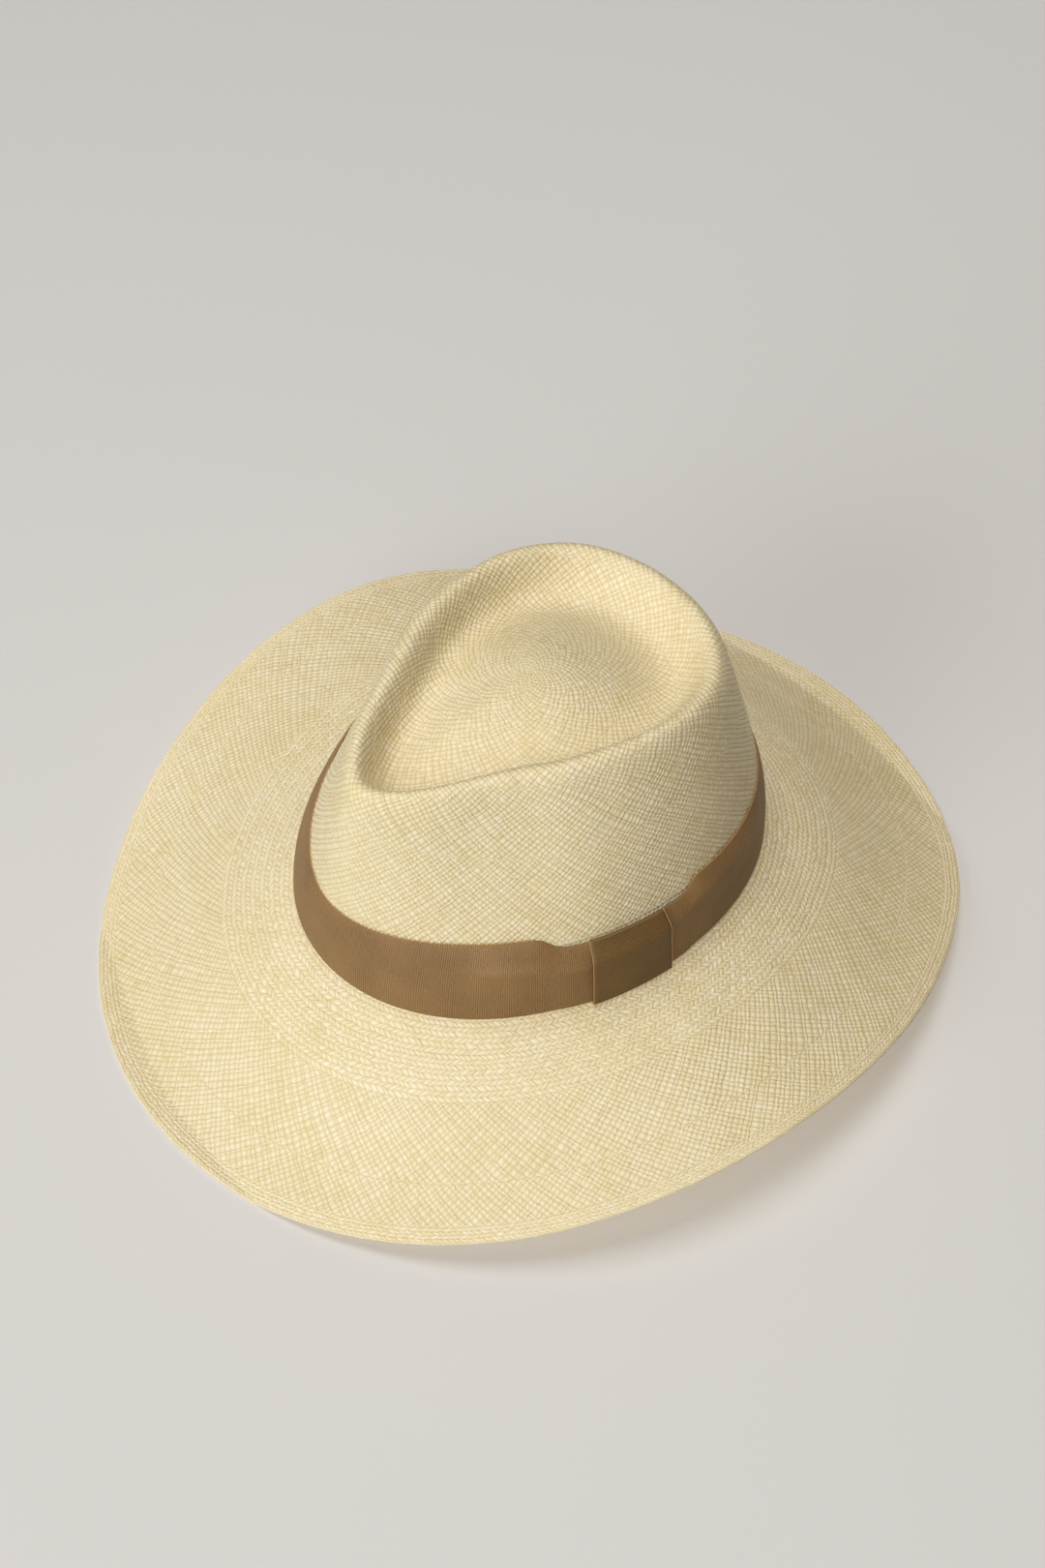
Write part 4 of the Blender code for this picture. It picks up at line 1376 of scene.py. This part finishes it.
def soft_loop(centre, length, tall, thickness, lean, flip):
    """One flattened loop of narrow ribbon, which leaves the knot, turns round at its end and comes back.

    flip is 1 for the loop on one side and -1 for the other, and lean tilts it.
    """
    way = np.linspace(0, 1, 41)[:, None]
    across = np.linspace(-1, 1, 9)[None, :]
    x = length * np.sin(math.pi * way) ** 0.75
    spread = (0.45 + 0.55 * np.sin(math.pi * way) ** 0.8) * tall / 2
    z = across * spread + lean * x
    y = -thickness * np.cos(math.pi * way) * (0.55 + 0.45 * np.sin(math.pi * way))
    x, y, z = np.broadcast_arrays(x, y, z)
    return np.stack([centre[0] + flip * x, centre[1] + y, centre[2] + z], axis=-1)


def skinned(middle, thickness):
    """Gives a sheet of points its thickness, as points and faces of a closed skin."""
    one = np.gradient(middle, axis=0)
    other = np.gradient(middle, axis=1)
    normal = np.cross(one, other)
    normal /= np.maximum(np.linalg.norm(normal, axis=-1, keepdims=True), 1e-9)
    front, back = middle + normal * thickness / 2, middle - normal * thickness / 2
    rows, columns = middle.shape[:2]
    shell = np.concatenate([front, back[:, ::-1]], axis=1)
    faces = grid_faces(rows, columns * 2, ring=True)
    return shell, np.concatenate([faces, end_caps(rows, columns * 2)])


# The thickness of the narrow bow ribbon and of the tag, in millimetres.
THIN_CLOTH = 0.3


def middle_and_half(node):
    """The middle of a node's box and half its size, in millimetres."""
    low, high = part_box(node)
    return (low + high) / 2 / MM, (high - low) / 2 / MM


class HAT_OT_rear_trim(bpy.types.Operator):
    """Make the little bow over the rear seam and the blank size tag"""

    bl_idname = "hat.rear_trim"
    bl_label = "Rear bow and tag"

    def execute(self, context):
        hat = the_hat()
        middle, half = middle_and_half("rear_bow_loops")
        ribbon = grosgrain("bow_ribbon", "#4c3a24", "#7c6343")
        loops = Gathered()
        for flip in (-1, 1):
            loop = soft_loop(middle, half.x * 0.96, half.z * 1.9, half.y * 1.5, 0.04 * flip, flip)
            loops.add(*skinned(loop, THIN_CLOTH))
        made = loops.piece("rear_bow", ribbon)
        finish_piece(made, "bow", "rear_bow_loops")

        # The wrap is a short sleeve, drawn in a little at its waist.
        middle, half = middle_and_half("rear_bow_knot")
        a = np.linspace(0, 2 * math.pi, 33)[:-1][:, None]
        x = np.linspace(-1, 1, 9)[None, :]
        waist = 1 - 0.12 * (1 - x**2)
        side, up = (half.y - 0.17) * np.cos(a) * waist, (half.z - 0.17) * np.sin(a) * waist
        outer = np.stack(np.broadcast_arrays(middle.x + half.x * x, middle.y + side, middle.z + up), axis=-1)
        outward = (outer - np.array(middle)) * np.array([0, 1, 1])
        outward /= np.linalg.norm(outward, axis=-1, keepdims=True)
        inner = outer - outward * THIN_CLOTH
        shell = np.concatenate([outer, inner[:, ::-1]], axis=1)
        knot = make_piece("rear_bow_wrap", shell, closed_faces(*shell.shape[:2]), ribbon)
        finish_piece(knot, "bow", "rear_bow_knot")

        cloth = plain_weave_cloth("tag_cloth", "#cfc8b4", "#f2eee0")
        tall = 14.0
        degrees = np.linspace(160, 168, 25)
        heights = np.linspace(11.0, 11.0 + tall, 29)
        wave = 0.12 * np.sin(heights / 3.1)[None, :] + 0.1 * np.sin(degrees * 0.9)[:, None]
        middle = hat.on_wall(degrees[:, None], heights[None, :], -2.0 + wave)
        points, faces = skinned(middle, THIN_CLOTH)
        tag = make_piece("size_tag_cloth", points, faces, cloth)
        finish_piece(tag, "tag", "size_tag")
        return {"FINISHED"}


# ---------------------------------------------------------------- the stage


def soft_light(name, towards, distance, size, power, colour, aim):
    """A square area light at a direction and distance from its aim."""
    data = bpy.data.lights.new(name, "AREA")
    data.shape = "SQUARE"
    data.size = size
    data.energy = power
    data.color = linear(colour)[:3]
    made = bpy.data.objects.new(name, data)
    direction = Vector(towards).normalized()
    made.location = aim + direction * distance
    made.rotation_mode = "QUATERNION"
    made.rotation_quaternion = (-direction).to_track_quat("-Z", "Y")
    bpy.context.scene.collection.objects.link(made)
    return made


# The camera's small shift, as a share of the frame's height, and its sensor's longer side in millimetres.
CAMERA_SHIFT = (-0.005747, 0.022691)
SENSOR = 36.0
# The floor reaches this far each way, in metres.
FLOOR_REACH = 6.0


class HAT_OT_stage(bpy.types.Operator):
    """Set the pale floor, the soft light and the camera"""

    bl_idname = "hat.stage"
    bl_label = "Stage"

    def execute(self, context):
        scene = context.scene
        stage = scene.hat_stage
        points = np.array([[-1, -1, 0], [1, -1, 0], [1, 1, 0], [-1, 1, 0]]) * FLOOR_REACH / MM
        # Matt background paper, with slow and hardly visible patches of shade.
        material, tree, shader = new_material("floor_paper", 0.9, Specular_IOR_Level=0.1)
        pale = tuple(stage.floor_colour)
        patch = tuple(c * 0.985 for c in pale[:3]) + (1.0,)
        face = blend(tree, noise(tree, own_place(tree), 3.0), pale, patch)
        tree.links.new(face, shader.inputs["Base Color"])
        floor = make_piece("floor", points, np.array([[0, 1, 2, 3]]), material)

        world = bpy.data.worlds.new("studio")
        world.use_nodes = True
        background = world.node_tree.nodes["Background"]
        background.inputs["Color"].default_value = linear("#f6f7fa")
        background.inputs["Strength"].default_value = 0.025
        scene.world = world

        aim = Vector((-MIDDLE_X * MM, -MIDDLE_Y * MM, stage.target_height))
        window = (0.21, -0.896, 0.391)
        soft_light("window", window, 4.2, 2.5, 79.0, "#f8fbff", aim)
        soft_light("overhead", (-0.12, 0.06, 1.0), 3.0, 1.7, 37.0, "#fafcff", aim)
        # Pale walls and a pale ceiling send light into every shadow, which these two stand in for.
        for name, towards, power, colour in (
            ("far_window", window, 56.0, "#fcfbf8"),
            ("ceiling", (0.06, 0.16, 1.0), 35.0, "#fff2e2"),
        ):
            soft_light(name, towards, 3.6, 0.5, power, colour, aim).data.use_shadow = False

        camera = bpy.data.cameras.new("camera")
        camera.lens = stage.lens
        camera.sensor_width = SENSOR
        camera.shift_x, camera.shift_y = CAMERA_SHIFT
        camera.clip_start, camera.clip_end = 0.01, 50.0
        made = bpy.data.objects.new("camera", camera)
        a, e = math.radians(stage.azimuth), math.radians(stage.elevation)
        back = Vector((math.sin(a) * math.cos(e), -math.cos(a) * math.cos(e), math.sin(e)))
        made.location = aim + back * stage.distance
        made.rotation_mode = "QUATERNION"
        made.rotation_quaternion = (-back).to_track_quat("-Z", "Y")
        scene.collection.objects.link(made)
        scene.camera = made
        scene.view_settings.view_transform = "Standard"
        return {"FINISHED"}


class HAT_PT_maker(bpy.types.Panel):
    """Lists the hat's pieces in the order that they are made"""

    bl_idname = "HAT_PT_maker"
    bl_label = "Panama Hat"
    bl_space_type = "VIEW_3D"
    bl_region_type = "UI"
    bl_category = "Hat"

    def draw(self, context):
        for group in ("hat_straw", "hat_ribbon", "hat_stage"):
            box = self.layout.box()
            settings = getattr(context.scene, group)
            for key in settings.bl_rna.properties.keys():
                if key not in ("rna_type", "name"):
                    box.prop(settings, key)
        for operator in OPERATORS:
            self.layout.operator(operator.bl_idname)


OPERATORS = (HAT_OT_straw, HAT_OT_hatband, HAT_OT_keeper, HAT_OT_sweatband, HAT_OT_rear_trim, HAT_OT_stage)
GROUPS = (("hat_straw", HatStraw), ("hat_ribbon", HatRibbon), ("hat_stage", HatStage))


def register():
    for name, group in GROUPS:
        bpy.utils.register_class(group)
        setattr(bpy.types.Scene, name, PointerProperty(type=group))
    for kind in (*OPERATORS, HAT_PT_maker):
        bpy.utils.register_class(kind)


def unregister():
    for kind in reversed((*OPERATORS, HAT_PT_maker)):
        bpy.utils.unregister_class(kind)
    for name, group in reversed(GROUPS):
        delattr(bpy.types.Scene, name)
        bpy.utils.unregister_class(group)


def main():
    """Makes the whole hat and its stage."""
    register()
    for make in (
        bpy.ops.hat.straw,
        bpy.ops.hat.hatband,
        bpy.ops.hat.keeper,
        bpy.ops.hat.sweatband,
        bpy.ops.hat.rear_trim,
        bpy.ops.hat.stage,
    ):
        make()


if __name__ == "__main__":
    main()
